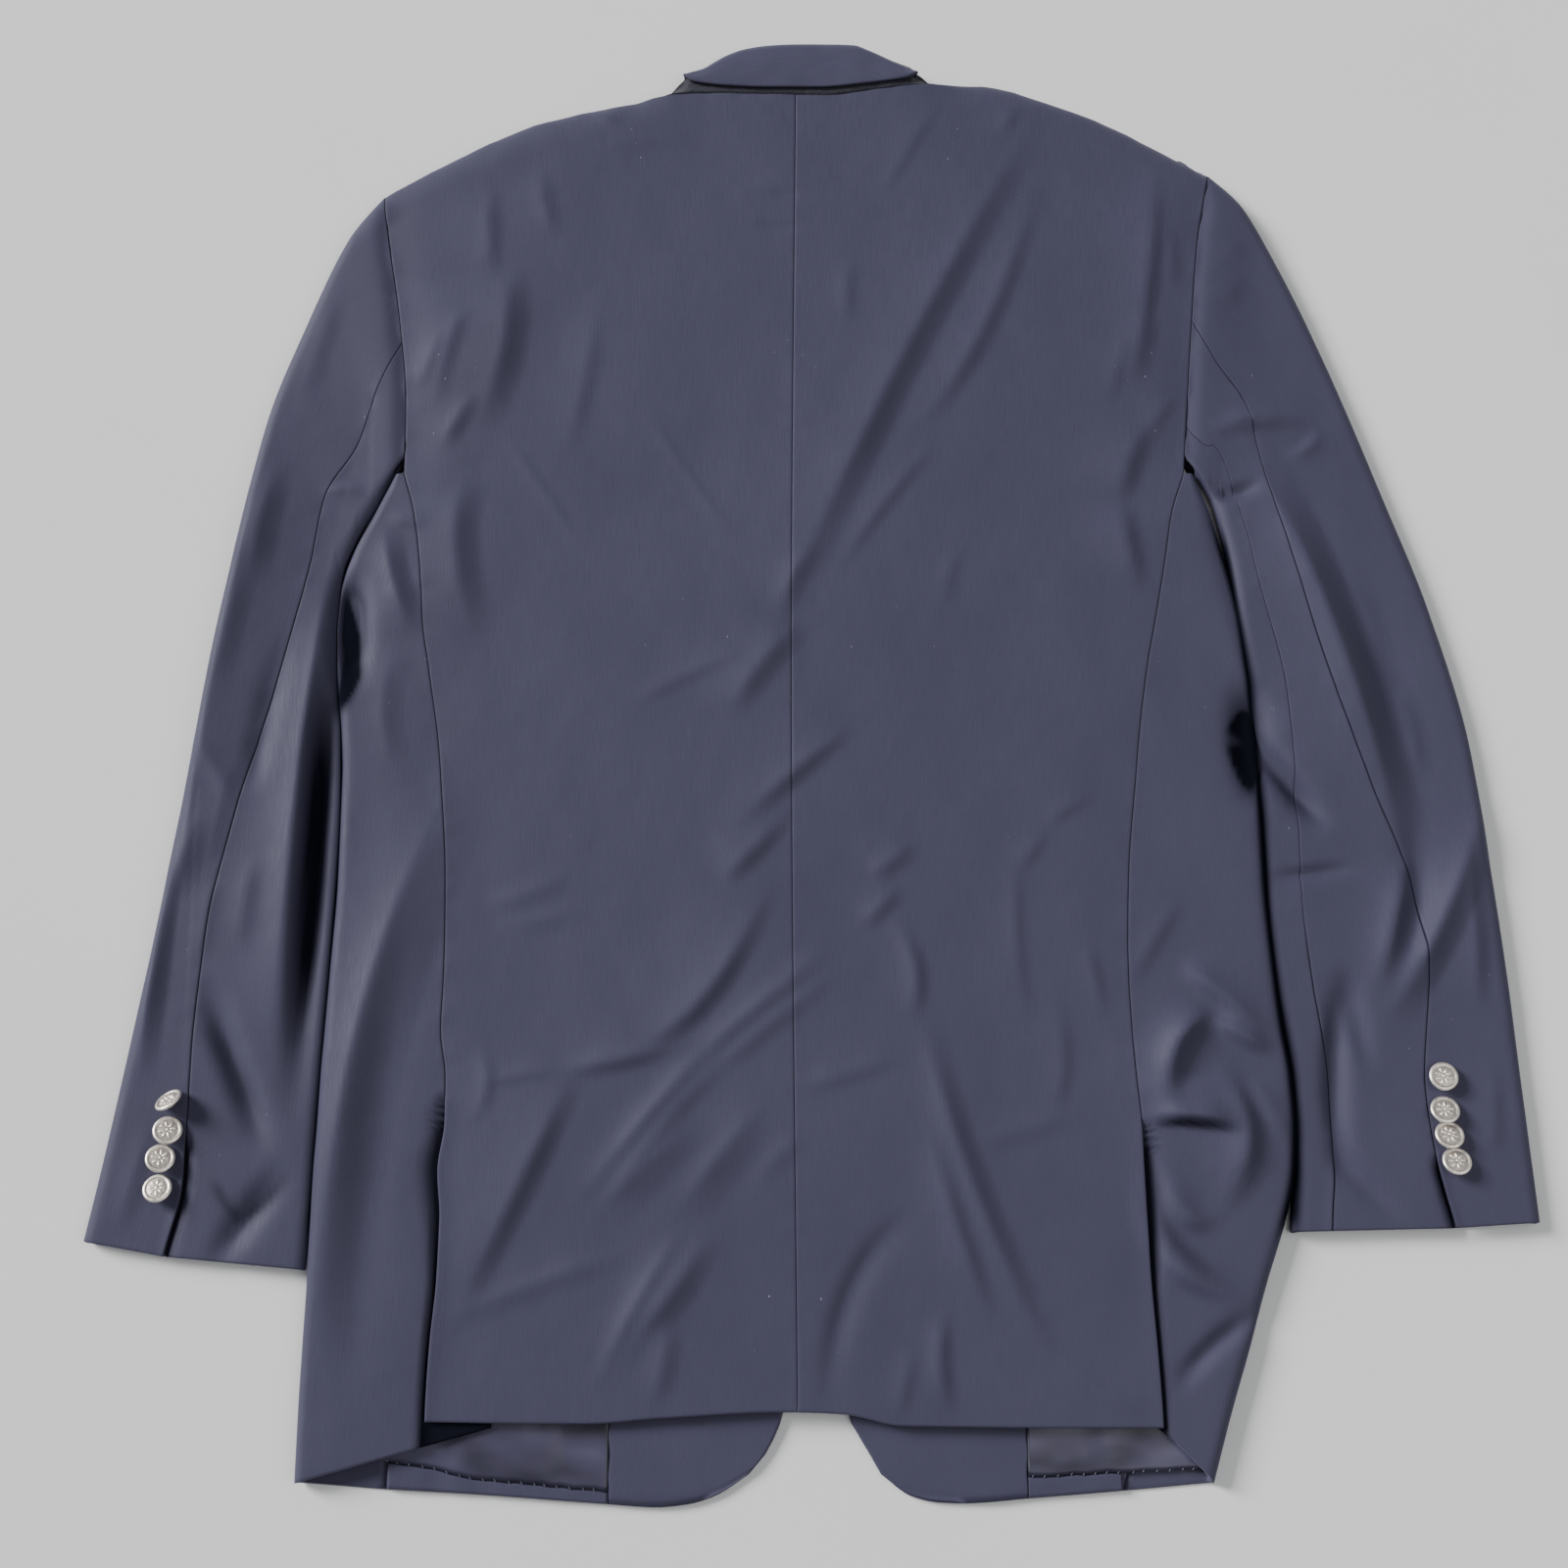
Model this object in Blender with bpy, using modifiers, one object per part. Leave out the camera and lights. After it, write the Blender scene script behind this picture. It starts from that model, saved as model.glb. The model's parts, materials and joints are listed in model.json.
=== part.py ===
"""A men's blazer laid flat on the floor, back up, with its sleeves beside it.

Tables hold millimetres, and meshes are made in metres. X runs across, Y from
the hem to the collar, Z up from the floor. Left and right are the wearer's,
and with the back up the wearer's left is at minus X.
"""
import math

import bmesh
import bpy
import numpy as np

MM = 0.001

# Walls of cloth, in millimetres.
CLOTH = 2.2
SLEEVE_UNDERSIDE = 3.0
FRONT_AT_EDGE = 2.6
LINING = 1.0
FELT = 1.6
LAPEL = 1.6
FLAP = 1.4
TURN_UP = 1.3

# Clearances, in millimetres.
SEAM = 0.3
HALF_SEAM = SEAM / 2
VENT_STEP = CLOTH + 1.0
REST = 0.3

# Rounding where the cloth turns over at a fold, in millimetres.
BODY_FOLD_REACH = """y left right"""
BODY_FOLD_REACH_ROWS = (
    (-420, 5.0, 5.0),
    (-330, 6.0, 7.0),
    (-120, 6.0, 8.0),
    (10, 7.0, 7.0),
    (70, 7.0, 14.0),
    (110, 6.0, 12.0),
    (143, 5.0, 5.0),
)
SLEEVE_FOLD_REACH = 7.0
SHOULDER_REACH = 20.0
FOLD_STEPS = (0.0, 0.22, 1.0)

# Levels that shape the body, in millimetres.
ARMPIT_Y = 143.0
SHOULDER_Y = {"left": 324.0, "right": 338.0}
NECK_X = {"left": -88.0, "right": 80.0}
FRONT_CORNER_Y = -416.0
VENT_TOP = {"left": -220.0, "right": -234.0}
UNDERLAP = 35.0
SIDE_COLUMNS = (0.0, 0.06, 0.24, 0.62, 1.0)
BREAK_Y = -54.0
LOWER_BUTTON_Y = -164.0
FRONT_OVERLAP = 18.0

# Buttons, in millimetres.
CUFF_BUTTON = 16.0
FRONT_BUTTON = 20.0
FRONT_BUTTON_WALL = 3.0
BUTTON_STEPS = 12

SIGN = {"left": -1.0, "right": 1.0}

# Outline of the body below the armpits, one row for each level.
BODY = """y left_fold left_seam right_seam right_fold"""
BODY_ROWS = (
    (-420, -273.0, -205.0, 185.5, 211.0),
    (-385, -273.0, -205.0, 185.0, 222.0),
    (-350, -272.5, -204.0, 183.5, 234.0),
    (-315, -271.5, -201.5, 181.5, 245.0),
    (-284, -270.5, -201.0, 180.5, 254.5),
    (-258, -270.0, -203.0, 180.0, 260.5),
    (-232, -269.0, -200.0, 179.5, 262.0),
    (-208, -268.5, -200.5, 177.5, 261.3),
    (-181, -267.5, -204.0, 176.0, 258.0),
    (-150, -266.5, -203.5, 175.3, 255.5),
    (-98, -264.8, -204.5, 177.5, 252.8),
    (-38, -265.3, -209.5, 184.0, 252.5),
    (-13, -267.0, -212.5, 187.0, 251.8),
    (8, -269.5, -216.0, 190.0, 250.8),
    (29, -272.0, -219.5, 193.5, 248.9),
    (50, -273.0, -223.0, 198.0, 247.0),
    (70, -272.0, -224.5, 202.0, 244.4),
    (94, -266.0, -227.0, 206.5, 240.0),
    (119, -254.5, -231.0, 211.0, 234.0),
    (143, -243.5, -238.0, 219.0, 225.0),
)

# Armhole seams above the armpits.
ARMHOLE = """y left right"""
ARMHOLE_ROWS = (
    (143, -238.0, 219.0),
    (190, -239.0, 223.4),
    (240, -244.5, 228.2),
    (290, -253.0, 233.7),
    (324, -258.0, 240.0),
    (338, -259.0, 243.0),
)

# Where the side panels end underneath and the fronts begin.
UNDER_SEAM = """y left right"""
UNDER_SEAM_ROWS = (
    (-425, -225.0, 163.0),
    (-330, -225.0, 190.0),
    (-200, -226.0, 204.0),
    (143, -238.0, 219.0),
)

# Shoulder and neck seams as one edge across the top of the back.
TOP_EDGE = """x y"""
TOP_EDGE_ROWS = (
    (-259, 323.5),
    (-220, 347.0),
    (-196, 360.0),
    (-170, 372.0),
    (-136, 382.0),
    (-112, 390.0),
    (-92, 396.0),
    (-66, 397.5),
    (-9, 396.5),
    (8, 396.0),
    (43, 400.5),
    (78, 404.0),
    (106, 402.0),
    (130, 394.0),
    (154, 385.0),
    (184, 372.0),
    (214, 355.0),
    (244, 337.0),
)

BACK_HEM = """x y"""
BACK_HEM_ROWS = (
    (-206, -389.0),
    (-120, -390.0),
    (-78, -387.0),
    (-15, -384.0),
    (16, -385.0),
    (47, -391.0),
    (141, -392.0),
    (187, -392.0),
)

CENTRE_SEAM = """y x"""
CENTRE_SEAM_ROWS = (
    (-390, -8.0),
    (17, -11.0),
    (400, -8.0),
)

# Hem heights of the side panels at the back seam, at the fold and underneath.
SIDE_HEM = {
    "left": {"seam": -392.0, "fold": -420.0, "under": -423.5},
    "right": {"seam": -376.0, "fold": -420.0, "under": -424.3},
}
HEM_BOW = {"left": 1.0, "right": 1.6}

# Front edge from the rounded hem corner up to the top button, then the lapel's roll.
FRONT_EDGE = """y left right"""
FRONT_EDGE_ROWS = (
    (-416, -34.0, 36.0),
    (-404, -24.0, 29.0),
    (-386, -16.0, 19.0),
    (-340, -8.0, 11.0),
    (-300, -2.0, 4.0),
    (-260, 5.0, -4.0),
    (-190, 18.0, -18.0),
    (-54, 18.0, -18.0),
)

FRONT_HEM = {
    "left": ((-273, -420.0), (-232, -423.0), (-179, -426.0), (-107, -431.0),
             (-82, -432.5), (-66, -431.0), (-52, -427.0), (-34, -416.0)),
    "right": ((36, -416.0), (52, -427.0), (66, -430.0), (79, -430.5),
              (115, -428.0), (154, -425.0), (211, -420.0)),
}

# Where the facing meets the lining, and the height of the turned-up hem beside it.
FACING_X = {"left": -108.0, "right": 113.5}
HEM_STRIP = {
    "left": ((-236, 15.0), (-203, 12.0), (-176, 8.0), (-109, 6.5)),
    "right": ((113, 11.0), (148, 10.0), (178, 8.5), (207, 7.5)),
}
INSIDE_TOP_Y = -352.0

# Lapel: the roll line and the outer edge, as distances from the middle.
LAPEL_SHAPE = """y roll edge"""
LAPEL_SHAPE_ROWS = (
    (-54, 8.0, 13.0),
    (50, 24.0, 58.0),
    (150, 40.0, 94.0),
    (240, 55.0, 133.0),
    (285, 63.0, 151.0),
    (340, 73.0, 126.0),
    (396, 84.0, 118.0),
)
NOTCH = (151.0, 279.0)
GORGE = (73.0, 338.0)

# Collar over the back neck: the edge of the fall, the roll and the felt's upper edge.
COLLAR = """x fall roll felt"""
COLLAR_ROWS = (
    (-90, 398.4, 401.0, 397.7),
    (-76, 406.5, 410.5, 404.5),
    (-63, 408.0, 416.5, 410.0),
    (-46, 405.5, 426.0, 419.5),
    (-31, 404.0, 430.0, 423.5),
    (-15, 403.0, 432.0, 425.5),
    (10, 404.0, 432.5, 426.0),
    (28, 406.0, 432.0, 425.5),
    (40, 408.0, 428.0, 421.5),
    (52, 409.5, 421.5, 415.0),
    (66, 411.0, 415.2, 408.8),
    (82, 405.4, 408.0, 404.4),
)
COLLAR_ENDS = {"left": -60.0, "right": 53.0}
COLLAR_END = 62.0
FELT_ENDS = (-88.0, 78.0)

# Outer height of the body, at the side folds and along the middle.
BODY_HEIGHT = """y edge middle"""
BODY_HEIGHT_ROWS = (
    (-433, 10.0, 10.0),
    (-350, 10.0, 10.6),
    (-285, 10.6, 11.6),
    (-215, 12.0, 13.0),
    (-30, 12.0, 13.2),
    (150, 12.4, 13.0),
    (300, 13.0, 13.2),
    (410, 12.0, 11.5),
)

# Fronts with their canvas, thickest at the chest and the shoulder.
FRONT_WALL = """y wall"""
FRONT_WALL_ROWS = (
    (-433, 2.6),
    (-312, 2.6),
    (-270, 3.8),
    (-50, 3.8),
    (150, 4.6),
    (300, 5.0),
    (400, 5.0),
)

# Lapels and flaps lie between the coat and the floor above this level.
LIFTED_Y = -215.0
LIFT_SLOPE = 60.0
LIFT = LAPEL + REST

# The two buttons lift the fronts a little more.
BUTTON_LIFT = FRONT_BUTTON_WALL + REST
BUTTON_MARGIN = 22.0
BUTTON_SLOPE = 50.0

# Sections of the sleeves from the armhole to the cuff, through the outer fold,
# the back sleeve seam and the inner fold.
SLEEVE = """share outer_x outer_y seam_x seam_y inner_x inner_y height"""
SLEEVE_ROWS = {
    "left": (
        (0.00, -258.0, 324, -244, 226, -244.4, 143.8, 12.0),
        (0.08, -278.0, 296, -255, 200, -252.4, 126, 11.4),
        (0.18, -301.0, 240, -266, 162, -263.4, 104, 10.6),
        (0.30, -320.0, 182, -284, 128, -272.4, 76, 10.0),
        (0.42, -333.0, 108, -290, 88, -274.0, 40, 9.6),
        (0.54, -345.0, 30, -307, 10, -268.6, -10, 9.4),
        (0.66, -357.0, -60, -325, -62, -266.2, -72, 9.4),
        (0.76, -366.0, -128, -337, -128, -267.6, -134, 9.4),
        (0.86, -378.0, -202, -341, -198, -270.0, -210, 9.4),
        (0.94, -387.0, -258, -341, -262, -271.8, -268, 9.2),
        (1.00, -393.8, -296, -349, -304, -273.2, -311, 9.0),
    ),
    "right": (
        (0.00, 243.0, 338, 228, 240, 226.0, 143.8, 12.0),
        (0.08, 262.0, 318, 241, 214, 235.2, 126, 11.4),
        (0.18, 283.0, 276, 258, 186, 239.8, 104, 10.6),
        (0.30, 307.0, 216, 266, 146, 245.2, 76, 10.0),
        (0.42, 335.0, 134, 280, 84, 249.6, 40, 9.6),
        (0.52, 359.0, 58, 297, 16, 252.6, 4, 9.4),
        (0.62, 376.0, -20, 317, -46, 255, -52, 9.4),
        (0.72, 383.0, -98, 337, -104, 254.6, -108, 9.4),
        (0.80, 387.0, -153, 342, -152, 257.8, -158, 9.4),
        (0.88, 390.0, -213, 336, -212, 264.0, -213, 9.4),
        (0.94, 392.0, -250, 339, -250, 264, -252, 9.2),
        (1.00, 394.0, -286, 347, -289, 260, -291, 9.0),
    ),
}
# The front sleeve seam, past the inner fold underneath or short of it on top.
FRONT_SLEEVE_SEAM = {"left": 14.0, "right": -15.0}
ARMHOLE_SHARE = 0.10

# The largest folds. Each crest runs from the hem upwards or from left to right,
# and falls away over one width on its left or upper side and one on the other.
FOLD = "x0 y0 x1 y1 x2 y2 rise wide_left wide_right".split()
BODY_FOLDS = (
    (-8, 69, 58, 217, 139, 365, 5.0, 38, 14),
    (-46, -4, -26, 24, -7, 52, 3.0, 20, 12),
    (184, 73, 179, 122, 196, 168, 3.0, 12, 12),
    (190, 199, 196, 250, 208, 338, 3.0, 12, 12),
    (-201, 171, -180, 225, -189, 273, 4.0, 22, 12),
    (-193, 52, -205, 94, -202, 134, 3.0, 14, 12),
    (-96, -187, -63, -167, -29, -112, 4.0, 22, 12),
    (-172, -292, -150, -250, -129, -207, 4.0, 24, 14),
    (-101, -256, -71, -200, 12, -134, 3.0, 12, 14),
    (124, -354, 84, -256, 62, -178, 4.5, 14, 12),
    (92, -339, 73, -287, 60, -242, 2.5, 12, 12),
    (10, -379, 18, -323, 46, -287, -2.0, 12, 12),
    (-255, -339, -248, -181, -243, -60, 3.5, 13, 15),
    (-236, -370, -230, -224, -213, -100, -3.0, 14, 14),
    (-228, 17, -235, 58, -240, 95, -2.5, 12, 12),
    (-270, 64, -262, 30, -268, -4, -2.5, 14, 12),
    (246, 8, 241, -14, 246, -50, -2.5, 12, 14),
    (184, -224, 206, -222, 229, -227, 5.0, 16, 8),
    (212, -276, 224, -242, 216, -212, 3.5, 12, 10),
    (197, -221, 203, -189, 224, -175, 5.0, 12, 11),
    (186, -290, 203, -306, 228, -316, 3.5, 13, 9),
    (205, -366, 218, -346, 236, -326, -1.5, 12, 12),
)
SLEEVE_FOLDS = {
    "left": (
        (-286, -194, -284, -104, -280, -6, -4.0, 9, 9),
        (-302, -185, -297, -60, -287, 60, 5.0, 14, 9),
        (-326, 46, -323, 104, -306, 156, -2.5, 12, 12),
        (-308, -75, -305, -6, -298, 44, -3.0, 10, 10),
        (-368, -200, -364, -131, -356, -70, -2.5, 12, 10),
        (-294, -253, -316, -200, -337, -153, -3.0, 11, 11),
        (-321, -303, -306, -274, -288, -258, -3.0, 11, 11),
    ),
    "right": (
        (330, -64, 299, 44, 273, 132, 6.0, 30, 12),
        (337, -120, 331, -6, 290, 113, -2.5, 12, 16),
        (287, -90, 275, -64, 266, -42, -3.0, 10, 10),
        (319, -167, 339, -131, 369, -70, 5.0, 14, 12),
        (313, -159, 327, -98, 319, -61, 4.0, 11, 11),
        (288, -262, 287, -202, 298, -148, -3.0, 11, 11),
    ),
}

# Buttons on the cuffs: place, tilt from lying flat and the way that its face leans.
CUFF_BUTTON_PLACES = "x y tilt lean".split()
CUFF_BUTTON_ROWS = {
    "left": (
        (-350.0, -221.0, 52, 120),
        (-350.0, -237.0, 19, 60),
        (-353.0, -252.0, 19, 60),
        (-353.5, -268.0, 19, 90),
    ),
    "right": (
        (345.0, -208.0, 12, 90),
        (344.5, -226.0, 21, 90),
        (346.0, -239.5, 21, 90),
        (349.0, -253.5, 21, 90),
    ),
}

CLOTH_COLOUR = (0.062, 0.066, 0.105)
SATIN_COLOUR = (0.095, 0.092, 0.135)
FELT_COLOUR = (0.030, 0.032, 0.048)
METAL_COLOUR = (0.72, 0.71, 0.68)


def columns(names, rows):
    """Read a table as a dictionary of named columns."""
    return dict(zip(names.split(), np.array(rows, float).T))


def curve(knots, values):
    """A smooth function through values at knots that never overshoots them."""
    knots = np.asarray(knots, float)
    values = np.asarray(values, float)
    steps = np.diff(knots)
    rises = np.diff(values) / steps
    slopes = np.zeros(len(knots))
    slopes[0] = rises[0]
    slopes[-1] = rises[-1]
    before = rises[:-1]
    after = rises[1:]
    same = before * after > 0
    slopes[1:-1][same] = 2 * before[same] * after[same] / (before[same] + after[same])

    def at(place):
        place = np.clip(place, knots[0], knots[-1])
        i = np.clip(np.searchsorted(knots, place, side="right") - 1, 0, len(steps) - 1)
        t = (place - knots[i]) / steps[i]
        rest = 1 - t
        bends = t * rest * steps[i] * (rest * slopes[i] - t * slopes[i + 1])
        return values[i] * rest**2 * (1 + 2 * t) + values[i + 1] * t**2 * (3 - 2 * t) + bends

    return at


def table_curve(names, rows, key, value):
    """The smooth curve of one column of a table against another."""
    table = columns(names, rows)
    return curve(table[key], table[value])


def ease(t):
    """A soft step from 0 to 1."""
    t = np.clip(t, 0.0, 1.0)
    return t * t * (3 - 2 * t)


fold_x = {side: table_curve(BODY, BODY_ROWS, "y", side + "_fold") for side in SIGN}
seam_x = {side: table_curve(BODY, BODY_ROWS, "y", side + "_seam") for side in SIGN}
armhole_x = {side: table_curve(ARMHOLE, ARMHOLE_ROWS, "y", side) for side in SIGN}
top_edge_y = table_curve(TOP_EDGE, TOP_EDGE_ROWS, "x", "y")
fold_reach = {side: table_curve(BODY_FOLD_REACH, BODY_FOLD_REACH_ROWS, "y", side) for side in SIGN}
under_seam_x = {side: table_curve(UNDER_SEAM, UNDER_SEAM_ROWS, "y", side) for side in SIGN}
back_hem_y = table_curve(BACK_HEM, BACK_HEM_ROWS, "x", "y")
centre_x = table_curve(CENTRE_SEAM, CENTRE_SEAM_ROWS, "y", "x")
edge_height = table_curve(BODY_HEIGHT, BODY_HEIGHT_ROWS, "y", "edge")
middle_height = table_curve(BODY_HEIGHT, BODY_HEIGHT_ROWS, "y", "middle")
front_wall_at = table_curve(FRONT_WALL, FRONT_WALL_ROWS, "y", "wall")
front_edge_x = {side: table_curve(FRONT_EDGE, FRONT_EDGE_ROWS, "y", side) for side in SIGN}
front_hem_y = {side: curve(*np.array(FRONT_HEM[side]).T) for side in SIGN}
lapel_roll = table_curve(LAPEL_SHAPE, LAPEL_SHAPE_ROWS, "y", "roll")
lapel_edge = table_curve(LAPEL_SHAPE, LAPEL_SHAPE_ROWS, "y", "edge")
fall_y = table_curve(COLLAR, COLLAR_ROWS, "x", "fall")
roll_y = table_curve(COLLAR, COLLAR_ROWS, "x", "roll")
felt_y = table_curve(COLLAR, COLLAR_ROWS, "x", "felt")


def side_of_body(y, side):
    """Edge of the back: the back seam below the armpit and the armhole above it."""
    return np.where(y < ARMPIT_Y, seam_x[side](y), armhole_x[side](y))


def fold_heights(x, y, rows):
    """Add up the folds of a table at the points given."""
    total = np.zeros(np.shape(x))
    steps = np.linspace(0, 1, 17)
    for row in rows:
        fold = dict(zip(FOLD, row))
        ends = np.array([[fold["x0"], fold["y0"]], [fold["x1"], fold["y1"]], [fold["x2"], fold["y2"]]])
        pull = 2 * ends[1] - 0.5 * (ends[0] + ends[2])
        line = (np.outer((1 - steps)**2, ends[0]) + np.outer(2 * steps * (1 - steps), pull)
                + np.outer(steps**2, ends[2]))
        nearest = np.full(np.shape(x), np.inf)
        along = np.zeros(np.shape(x))
        across = np.zeros(np.shape(x))
        for k in range(len(steps) - 1):
            run = line[k + 1] - line[k]
            length = math.hypot(*run)
            t = np.clip(((x - line[k][0]) * run[0] + (y - line[k][1]) * run[1]) / length**2, 0, 1)
            off_x = x - line[k][0] - t * run[0]
            off_y = y - line[k][1] - t * run[1]
            distance = np.hypot(off_x, off_y)
            closer = distance < nearest
            nearest = np.where(closer, distance, nearest)
            along = np.where(closer, (k + t) / (len(steps) - 1), along)
            to_right = off_x * run[1] - off_y * run[0]
            across = np.where(closer, np.sign(to_right), across)
        width = np.where(across > 0, fold["wide_right"], fold["wide_left"])
        shape = np.exp(-(nearest / width)**2)
        total = total + fold["rise"] * shape * ease(along * 3.5) * ease((1 - along) * 3.5)
    return total


def resting_rise(x, y):
    """How far lapels, flaps and buttons hold the underside above the floor."""
    lifted = LIFT * ease((y - LIFTED_Y + LIFT_SLOPE) / LIFT_SLOPE)
    beyond_x = np.maximum(np.abs(x) - BUTTON_MARGIN, 0)
    beyond_y = np.maximum(np.maximum(y - BREAK_Y, LOWER_BUTTON_Y - y) - BUTTON_MARGIN, 0)
    near_button = 1 - ease(np.hypot(beyond_x, beyond_y) / BUTTON_SLOPE)
    return lifted + (BUTTON_LIFT - LIFT) * near_button


def front_wall(x, y):
    """Thickness of a front, thinner at its edge, its hem and its shoulder seam."""
    inside = ease((np.abs(x) - 30) / 40)
    from_shoulder = ease((top_edge_y(x) - y) / 40)
    return FRONT_AT_EDGE + (front_wall_at(y) - FRONT_AT_EDGE) * inside * from_shoulder


def overlap_rise(x, y):
    """Lift of the right front where it lies on the left one."""
    beside = 1 - ease((x - 26) / 40)
    below = ease((y + 330) / 32)
    above = 1 - ease((y - 10) / 60)
    return (FRONT_AT_EDGE + 2 * REST) * beside * below * above


def seam_dip(x, y, side):
    """The valley that the armhole seam draws into the cloth."""
    away = (x - armhole_x[side](y)) / 7.0
    high = ease((y - ARMPIT_Y + 10) / 30) * ease((top_edge_y(x) - y) / 25)
    return 2.5 * np.exp(-away**2) * high


def shoulder_drop(x, y):
    """1 on the back, falling to 0 at the shoulder seam, but not along the neck."""
    sharp = np.clip(1 - (top_edge_y(x) - y) / SHOULDER_REACH, 0, 1)
    on_shoulder = ease((-x - 82) / 26) + ease((x - 68) / 36)
    return 1 - (1 - np.sqrt(1 - sharp**2)) * on_shoulder


def body_height(x, y, with_folds=True):
    """Outer height of the back and the side panels above the floor."""
    middle = np.exp(-(x / 95.0)**2)
    height = edge_height(y) * (1 - middle) + middle_height(y) * middle
    if with_folds:
        calm = np.ones(np.shape(x))
        for side, top in VENT_TOP.items():
            at_vent = ease((top + 24 - y) / 24)
            calm = calm * (1 - at_vent * np.exp(-((x - seam_x[side](y)) / 16.0)**2))
        height = height + fold_heights(x, y, BODY_FOLDS) * calm
    for side in SIGN:
        height = height - seam_dip(x, y, side)
    rim = resting_rise(x, y) + FRONT_AT_EDGE + REST
    return rim + (height - rim) * shoulder_drop(x, y)


def felt_height(x, y):
    """Outer height of the felt from the neck seam towards the collar's roll."""
    seam_y = top_edge_y(x)
    return body_height(x, seam_y, with_folds=False) - 0.15 * (y - seam_y)


def outward(sheet, face_up):
    """Unit normals of a sheet, turned so that the first column's face up or down."""
    normals = np.cross(np.gradient(sheet, axis=0), np.gradient(sheet, axis=1))
    normals /= np.linalg.norm(normals, axis=2, keepdims=True)
    if (normals[0, :, 2].mean() > 0) != face_up:
        normals = -normals
    return normals


def flatten_rim(normals, across_rim):
    """Keep a rim's wall in line with its seam, so that it can't reach past it."""
    across_rim = across_rim / np.linalg.norm(across_rim, axis=-1, keepdims=True)
    kept = normals - (normals * across_rim).sum(axis=-1, keepdims=True) * across_rim
    return kept / np.linalg.norm(kept, axis=-1, keepdims=True)


def along_seam(edge):
    """Level direction square to a seam, at each of its points."""
    run = np.gradient(edge, axis=0)
    return np.stack([-run[:, 1], run[:, 0], np.zeros(len(run))], axis=1)


def inner_face(sheet, thickness, face_up, start_rim, end_rim):
    """Points one wall inside a sheet. The long rims follow their seams."""
    normals = outward(sheet, face_up)
    normals[:, 0] = flatten_rim(normals[:, 0], start_rim)
    normals[:, -1] = flatten_rim(normals[:, -1], end_rim)
    for column in (0, -1):
        normals[column] = flatten_rim(normals[column], along_seam(sheet[column]))
    return sheet - normals * np.broadcast_to(thickness, sheet.shape[:2])[..., None]


def new_material(name, colour, roughness, metallic=0.0):
    material = bpy.data.materials.new(name)
    material.use_nodes = True
    shader = material.node_tree.nodes["Principled BSDF"]
    shader.inputs["Base Color"].default_value = (*colour, 1.0)
    shader.inputs["Roughness"].default_value = roughness
    shader.inputs["Metallic"].default_value = metallic
    return material


FINISHES = {
    "cloth": (CLOTH_COLOUR, 0.75, 0.0),
    "satin": (SATIN_COLOUR, 0.35, 0.0),
    "felt": (FELT_COLOUR, 0.95, 0.0),
    "metal": (METAL_COLOUR, 0.25, 1.0),
}


def place(name, mesh, finish):
    """Put a mesh into the blazer's collection with its finish."""
    mesh.materials.append(bpy.data.materials[finish])
    item = bpy.data.objects.new(name, mesh)
    bpy.data.collections["blazer"].objects.link(item)
    return item


def join(item, addition):
    """Make a second body part of an item that it overlaps."""
    bpy.data.collections["blazer"].objects.unlink(addition)
    bpy.data.collections["joined"].objects.link(addition)
    addition.hide_render = True
    union = item.modifiers.new(addition.name, "BOOLEAN")
    union.operation = "UNION"
    union.solver = "EXACT"
    union.object = addition


def closed_wall(name, sheet, inside, finish="cloth"):
    """Close the space between two sheets of points that share their grid."""
    across, along = sheet.shape[:2]
    builder = bmesh.new()
    bmesh.ops.create_grid(builder, x_segments=across - 1, y_segments=along - 1, size=1.0)
    key = builder.verts.layers.int.new("key")
    for vert in builder.verts:
        column = round((vert.co.x + 1) / 2 * (across - 1))
        row = round((vert.co.y + 1) / 2 * (along - 1))
        vert[key] = column * along + row
    second = bmesh.ops.extrude_face_region(builder, geom=builder.faces[:])["geom"]
    moved = {part for part in second if isinstance(part, bmesh.types.BMVert)}
    for vert in builder.verts:
        column, row = divmod(vert[key], along)
        source = inside if vert in moved else sheet
        vert.co = source[column, row] * MM
    bmesh.ops.recalc_face_normals(builder, faces=builder.faces[:])
    if builder.calc_volume(signed=True) < 0:
        bmesh.ops.reverse_faces(builder, faces=builder.faces[:])
    mesh = bpy.data.meshes.new(name)
    builder.to_mesh(mesh)
    builder.free()
    return place(name, mesh, finish)


def slab(name, plan, bottom, thickness, finish="cloth"):
    """A piece that lies flat: its underside at one height and its wall straight up."""
    sheet = np.dstack([plan, np.broadcast_to(bottom, plan.shape[:2])])
    inside = sheet + np.dstack([0 * plan, np.broadcast_to(thickness, plan.shape[:2])])
    return closed_wall(name, sheet, inside, finish)


def patch(inner, outer, bottom, top):
    """Blend four edges, given as rows of points, into a sheet of plan points."""
    u = np.linspace(0, 1, len(bottom))[:, None, None]
    v = np.linspace(0, 1, len(inner))[None, :, None]
    if len(top) == len(bottom):
        u = share_of_length(bottom)[:, None, None]
        v = share_of_length(outer)[None, :, None]
    ruled = (1 - u) * inner[None] + u * outer[None]
    lofted = (1 - v) * bottom[:, None] + v * top[:, None]
    corners = ((1 - u) * (1 - v) * inner[0] + u * (1 - v) * outer[0]
               + (1 - u) * v * inner[-1] + u * v * outer[-1])
    return ruled + lofted - corners


def share_of_length(edge):
    """How far along an edge each of its points lies, from 0 to 1."""
    lengths = np.concatenate([[0], np.cumsum(np.linalg.norm(np.diff(edge, axis=0), axis=1))])
    return lengths / lengths[-1]


def stack(x, y):
    return np.stack([np.broadcast_to(x, np.shape(y)), y], axis=-1)


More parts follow.
